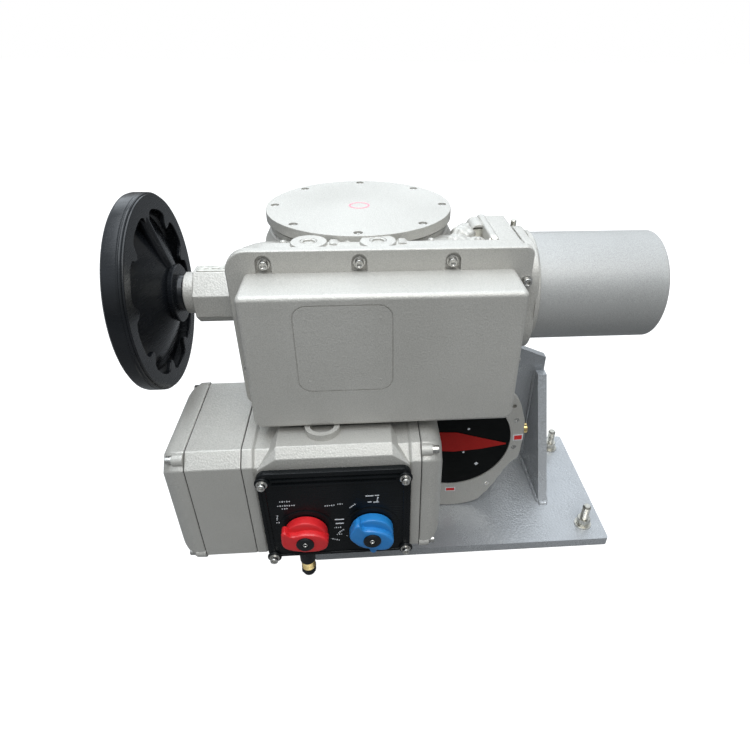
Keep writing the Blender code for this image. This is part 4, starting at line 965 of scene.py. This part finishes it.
def make_ecu():
    bm = bmesh.new()
    stations = [(-276.1, 0.0), (-264.6, 0.0), (-262.4, 2.6), (-240.9, 2.6), (-238.6, 0.0), (-110.6, 0.0),
                (-108.3, 2.6),
                (-91.0, 2.6), (-88.8, 0.0), (-77.6, 0.0)]
    ecu_length(bm, stations)
    soften(bm, 1.3, 2, 20.0)
    piece("ecu_case", bm, PAINT, stands_for=("ecu_body",), angle=30.0)
    bm = bmesh.new()
    points = []
    for y in (-193.7, -186.0):
        for x in (-260.0, -90.6):
            points += [(x, y, 114.6), (x, y, 251.4)]
    for x in (-238.0, -110.4):
        points += [(x, -193.7, 266.5), (x, -183.5, 276.5), (x, -150.0, 276.5), (x, -150.0, 262.0)]
    for p in points:
        bm.verts.new(p)
    bmesh.ops.convex_hull(bm, input=bm.verts[:])
    bmesh.ops.dissolve_limit(bm, angle_limit=math.radians(2.0), verts=bm.verts[:], edges=bm.edges[:])
    soften(bm, 1.0, 2, 15.0)
    piece("ecu_panel_pad", bm, PAINT, angle=24.0)
    bm = bmesh.new()
    ecu_length(bm, [(-337.3, 0.0), (-276.7, 0.0)])
    soften(bm, 1.3, 2, 20.0)
    piece("ecu_end_case", bm, PAINT, stands_for=("ecu_end_section",), angle=30.0)
    bm = bmesh.new()
    for x in (-337.5, -276.4, -77.4):
        ecu_length(bm, [(x - 3.0, 1.3), (x + 3.0, 1.3)])
    piece("ecu_seams", bm, RUBBER_AND_SHADE)
    end_lid("ecu_left_lid", -337.8, LEFT, "ecu_left_cover", 24.0)
    end_lid("ecu_right_lid", -77.1, RIGHT, "ecu_right_cover", 20.5)

    bm = bmesh.new()
    profile = [(262.0, 14.2), (262.0, 21.6), (270.0, 21.4), (271.4, 20.2), (273.4, 19.8), (284.6, 19.8),
               (284.6, 14.2)]
    lathe(bm, profile, "z", (-187.6, -157.6), 64, True)
    piece("cable_neck", bm, PAINT, stands_for=("conduit_neck",))


def make_panel():
    x0, x1, z0, z1 = -261.0, -89.5, 117.0, 254.0
    bm = bmesh.new()
    outer = corners(x0, x1, z0, z1, (9.0, 10.0, 10.0, 9.0), 6)
    prism(bm, outer, "y", PANEL_Y + 1.4, PANEL_Y + 7.0)
    soften(bm, 0.8, 2)
    piece("panel_plate", bm, PANEL, stands_for=("control_panel",))
    bm = bmesh.new()
    inner = corners(x0 + 9.0, x1 - 9.0, z0 + 4.0, z1 - 7.0, (5.0, 5.0, 5.0, 5.0), 6)
    edge = corners(x0 + 0.3, x1 - 0.3, z0 + 0.3, z1 - 0.3, (9.0, 10.0, 10.0, 9.0), 6)
    ring(bm, edge, inner, "y", PANEL_Y, PANEL_Y + 3.0)
    soften(bm, 0.9, 3, 50.0)
    for z, a, b in ((243.6, x0 + 16.0, x1 - 14.0), (236.6, x0 + 16.0, x1 - 17.0)):
        prism(bm, rounded(a, b, z - 1.3, z + 1.3, 1.2, 4), "y", PANEL_Y - 0.7, PANEL_Y + 3.0)
    for x, side in ((x0 + 3.0, 1.0), (x1 - 3.0, -1.0)):
        prism(bm, rounded(x - 1.4, x + 1.4, z0 + 16.0, z1 - 18.0, 1.2, 4), "y", PANEL_Y - 0.9, PANEL_Y + 3.0)
    piece("panel_frame", bm, PANEL)
    bm = bmesh.new()
    ears = [(-254.4, 240.2), (-96.4, 240.0), (-94.6, 122.2), (-254.2, 118.0)]
    for x, z in ears:
        ear = spun([(0.0, 0.0), (0.0, 8.4), (1.2, 8.2), (1.8, 7.6), (1.8, 0.0)], 40)
        stamp(bm, ear, (x, PANEL_Y + 0.4, z), FRONT)
    piece("panel_ears", bm, PANEL)
    screws("panel_screws", [(x, PANEL_Y - 1.2, z) for x, z in ears], FRONT, 4.6, 5.4, 2.6, 6.2)

    bm = bmesh.new()
    for x in (RED_X, BLUE_X):
        lathe(bm, [(PANEL_Y + 2.0, 26.0), (PANEL_Y + 2.0, 32.6), (PANEL_Y + 0.7, 32.6), (PANEL_Y + 0.2, 31.8),
                   (PANEL_Y + 0.2, 26.0)], "y", (x, KNOB_Z), 64, True)
    piece("knob_bezels", bm, PANEL)
    bm = bmesh.new()
    face = PANEL_Y + 1.45

    def bar(x, z, wide, tall, lean=0.0):
        prism(bm, oblong(x, z, wide, tall, lean), "y", face - 0.25, face + 0.2)

    def dots(x, z, count, step, lean=0.0):
        for i in range(count):
            spot = around(x, z, (i - (count - 1) / 2) * step, lean)
            bar(*spot, step * 0.5, 1.1 + 0.7 * (i % 2), lean)

    for row in ((-233.0, 210.0, 5, 2.6), (-232.0, 203.4, 8, 2.6), (-234.0, 198.6, 3, 2.6),
                (-183.0, 200.4, 5, 2.5, 3.0),
                (-171.0, 202.0, 3, 2.5, 3.0), (-244.0, 184.0, 4, 2.3, 80.0), (-128.0, 206.6, 4, 2.2, 82.0),
                (-157.0, 198.0, 4, 2.6, 42.0), (-176.0, 163.0, 4, 2.5), (-171.0, 157.0, 5, 2.5, 40.0),
                (-174.0, 151.0, 3, 2.6), (-164.0, 150.0, 3, 2.6, 60.0), (-180.0, 142.6, 5, 2.6, -20.0),
                (-244.0, 176.0, 2, 2.5)):
        dots(*row)
    for row in ((-137.0, 213.0, 9.0, 1.3), (-128.6, 213.4, 5.0, 1.1), (-137.0, 203.2, 4.6, 1.2),
                (-129.6, 202.6, 6.4, 1.2), (-173.0, 176.6, 11.0, 1.5), (-173.0, 169.8, 9.6, 1.5)):
        bar(*row)
    piece("panel_marks", bm, WHITE)


def make_knob(name, x, lean, tab, mat):
    """A selector: a round skirt, a wide grip across it, and a dark boss with a hexagon socket."""
    body = name + "_selector"
    front = PANEL_Y - 0.5
    bm = bmesh.new()
    profile = [(front, 0.0), (front, 24.4), (front - 0.8, 25.0), (front - 9.4, 25.0), (front - 11.2, 24.2),
               (front - 12.0, 22.6), (front - 12.0, 0.0)]
    lathe(bm, profile, "y", (x, KNOB_Z), 96)
    if tab:
        point = turned([(20.0, -7.0), (31.0, -3.6), (34.0, -2.0), (34.6, 0.0), (34.0, 2.0), (31.0, 3.6),
                        (20.0, 7.0)],
                       x, KNOB_Z, tab)
        prism(bm, point, "y", front - 9.0, front - 1.0)
    piece(name + "_skirt", bm, mat, body, (name + "_knob",), 30.0)
    loops = []
    shape = [(26.4, 0.0), (25.0, 7.0), (18.0, 12.6), (8.0, 15.2), (-4.0, 14.2), (-14.0, 10.6), (-19.0, 11.4),
             (-24.6, 15.4), (-28.0, 12.0), (-28.0, 4.0), (-27.0, -4.0), (-24.0, -10.0), (-16.0,
                                                                                         -14.0),
                                                                                         (-4.0, -15.6),
             (8.0, -15.0), (18.0, -12.4), (25.0, -7.0)]
    fine = []
    for k in range(len(shape)):
        a, b, c, d = (shape[(k + s) % len(shape)] for s in (-1, 0, 1, 2))
        for t in (0.0, 0.25, 0.5, 0.75):
            fine.append(tuple(0.5 * ((2 * b[n]) + (c[n] - a[n]) * t + (2 * a[n] - 5 * b[n] + 4 * c[n] - d[n]) * t * t
                                     + (3 * b[n] - a[n] - 3 * c[n] + d[n]) * t ** 3) for n in (0, 1)))
    for rise, share in ((8.0, 1.0), (15.0, 0.99), (17.2, 0.97), (18.6, 0.93), (19.2, 0.87), (19.6, 0.6)):
        level = turned([(p[0] * (0.4 + 0.6 * share), p[1] * share) for p in fine], x, KNOB_Z, lean)
        loops.append([place("y", front - rise, u, v) for u, v in level])
    bm = bmesh.new()
    loft(bm, loops)
    piece(name + "_grip", bm, mat, body, angle=42.0)
    bm = bmesh.new()
    rows = [(0.0, 0.0), (0.0, 10.4), (2.6, 10.2), (3.4, 9.2), (3.4, 3.9), (2.4, 3.6), (2.4, 0.0)]
    stamp(bm, spun(rows, 48), (x, front - 18.4, KNOB_Z), FRONT)
    piece(name + "_boss", bm, BLACK, body)
    bm = bmesh.new()
    stamp(bm, socket_head(3.1, 2.0, 1.6), (x, front - 19.8, KNOB_Z), FRONT)
    piece(name + "_screw", bm, STEEL, body)


def make_gland():
    x, y = -217.5, -186.0
    bm = bmesh.new()
    rows = [(0.0, 0.0), (0.0, 8.2)]
    for i in range(8):
        rows += [(1.0 + 1.5 * i, 8.0), (1.7 + 1.5 * i, 8.7)]
    stamp(bm, spun(rows + [(14.0, 8.0), (14.0, 0.0)], 32), (x, y, 90.0), DOWN)
    piece("gland_thread", bm, BRASS, stands_for=("gland_body",))
    bm = bmesh.new()
    rows = [(0.0, 0.0), (0.0, 9.6), (1.0, 10.6, "h"), (8.0, 10.6, "h"), (9.0, 9.8), (21.0, 9.6), (22.6, 8.6)]
    stamp(bm, spun(rows + [(22.6, 0.0)], 48), (x, y, 111.8), DOWN)
    rows = [(0.0, 0.0), (0.0, 9.0), (1.0, 9.9, "h"), (6.0, 9.9, "h"), (7.4, 8.8), (9.0, 8.2), (9.0, 0.0)]
    stamp(bm, spun(rows, 48), (x, y, 77.6), DOWN)
    piece("gland_nuts", bm, BLACK, stands_for=("gland_cap",))
    bm = bmesh.new()
    rows = [(0.0, 0.0), (0.0, 7.6), (2.0, 7.4), (2.6, 6.8), (2.6, 4.6), (1.0, 4.4), (1.0, 0.0)]
    stamp(bm, spun(rows, 48), (x, y, 68.7), DOWN)
    piece("gland_end", bm, ZINC)


# --------------------------------------------------------- carried-over nodes

# Nodes with no piece of their own above; any other stays in the casting paint.
FINISH = {
    PLATE: ("base_plate", "back_plate", "rib_left", "rib_right"),
    STEEL: ("drive_bearing", "drive_sleeve", "gearbox_bearing_lower", "gearbox_bearing_upper", "gearbox_worm",
            "motor_rotor", "neck_bearing", "output_shaft", "shaft_bearing", "worm_shaft", "red_knob_shaft",
            "blue_knob_shaft"),
    BRONZE: ("sector_wheel", "drive_worm_wheel", "output_bush"),
    RUBBER_AND_SHADE: ("panel_gasket", "terminal_gasket", "top_cover_gasket"),
    WINDING: ("motor_stator",),
    BOARD: ("logic_board",),
    GREY_PLASTIC: ("terminal_block",),
}


def finish_nodes():
    chosen = {name: mat for mat, names in FINISH.items() for name in names}
    for name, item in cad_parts.items():
        for holder in item.material_slots:
            holder.material = chosen.get(name, PAINT)
        if name in ("base_plate", "back_plate", "rib_left", "rib_right", "ecu_bracket"):
            mod = item.modifiers.new("edge", "BEVEL")
            mod.width = 1.2 * MM
            mod.segments = 3
            mod.limit_method = "ANGLE"
            mod.angle_limit = math.radians(40.0)
            item.modifiers.new("normals", "WEIGHTED_NORMAL")


# --------------------------------------------------------- camera and light

def make_camera():
    data = bpy.data.cameras.new("camera")
    data.sensor_width = 36.0
    data.lens = 26.36
    data.shift_x = -0.0385
    data.shift_y = -0.0065
    data.clip_start = 0.01
    data.clip_end = 50.0
    camera = bpy.data.objects.new("camera", data)
    right = Vector((0.99711, -0.07509, 0.01176)).normalized()
    back = -Vector((0.06923, 0.83345, -0.54824)).normalized()
    up = back.cross(right).normalized()
    turn = Matrix((right, up, back)).transposed().to_4x4()
    camera.matrix_world = Matrix.Translation(Vector((-136.74, -647.20, 676.36)) * MM) @ turn
    bpy.context.collection.objects.link(camera)
    bpy.context.scene.camera = camera


def softbox(name, spot, target, wide, tall, power, colour):
    data = bpy.data.lights.new(name, "AREA")
    data.shape = "RECTANGLE"
    data.size = wide
    data.size_y = tall
    data.energy = power
    data.color = colour
    lamp = bpy.data.objects.new(name, data)
    lamp.location = spot
    lamp.rotation_euler = (Vector(target) - Vector(spot)).to_track_quat("-Z", "Y").to_euler()
    bpy.context.collection.objects.link(lamp)


def make_stage():
    bm = bmesh.new()
    bmesh.ops.create_grid(bm, x_segments=1, y_segments=1, size=9000.0)
    floor = to_object("floor", bm)
    mat, tree, bsdf = shader("pale_floor")
    bsdf.inputs["Base Color"].default_value = (0.16, 0.16, 0.16, 1.0)
    bsdf.inputs["Roughness"].default_value = 0.85
    bsdf.inputs["Emission Color"].default_value = (1.0, 1.0, 1.0, 1.0)
    seen = tree.nodes.new("ShaderNodeLightPath")
    tree.links.new(seen.outputs["Is Camera Ray"], bsdf.inputs["Emission Strength"])
    floor.data.materials.append(mat)
    world = bpy.data.worlds.new("studio")
    world.use_nodes = True
    tree = world.node_tree
    sky = tree.nodes["Background"]
    where = tree.nodes.new("ShaderNodeTexCoord")
    split = tree.nodes.new("ShaderNodeSeparateXYZ")
    tree.links.new(where.outputs["Generated"], split.inputs["Vector"])
    tree.links.new(spread(tree, split.outputs["Z"], 0.11, 1.05, 0.0, 0.62), sky.inputs["Strength"])
    tree.links.new(tint(tree, split.outputs["Z"], (1.0, 0.97, 0.92), (0.86, 0.93, 1.0), 0.0, 0.45),
                   sky.inputs["Color"])
    plain = tree.nodes.new("ShaderNodeBackground")
    plain.inputs["Color"].default_value = (1.0, 1.0, 1.0, 1.0)
    rays = tree.nodes.new("ShaderNodeLightPath")
    mix = tree.nodes.new("ShaderNodeMixShader")
    tree.links.new(rays.outputs["Is Camera Ray"], mix.inputs[0])
    tree.links.new(sky.outputs[0], mix.inputs[1])
    tree.links.new(plain.outputs[0], mix.inputs[2])
    tree.links.new(mix.outputs[0], tree.nodes["World Output"].inputs["Surface"])
    bpy.context.scene.world = world
    # Places in metres, power in watts.
    softbox("top_light", (-0.3, 0.0, 2.2), (-0.1, 0.0, 0.3), 2.4, 1.6, 46.0, (0.90, 0.95, 1.0))
    softbox("back_light", (-0.4, 2.4, 2.0), (-0.1, 0.0, 0.4), 3.0, 1.4, 20.0, (0.86, 0.93, 1.0))
    softbox("front_light", (0.3, -1.5, 2.3), (-0.1, 0.0, 0.4), 1.2, 1.0, 19.0, (1.0, 0.97, 0.92))
    bpy.context.scene.view_settings.view_transform = "Standard"


finish_nodes()
make_foot()
make_gearbox()
make_dial()
make_lever()
make_housing()
make_top()
make_terminal_box()
make_neck()
make_handwheel()
make_motor()
make_ecu()
make_panel()
make_knob("red", RED_X, -8.0, 0.0, RED)
make_knob("blue", BLUE_X, -28.0, -88.0, BLUE)
make_gland()
make_camera()
make_stage()
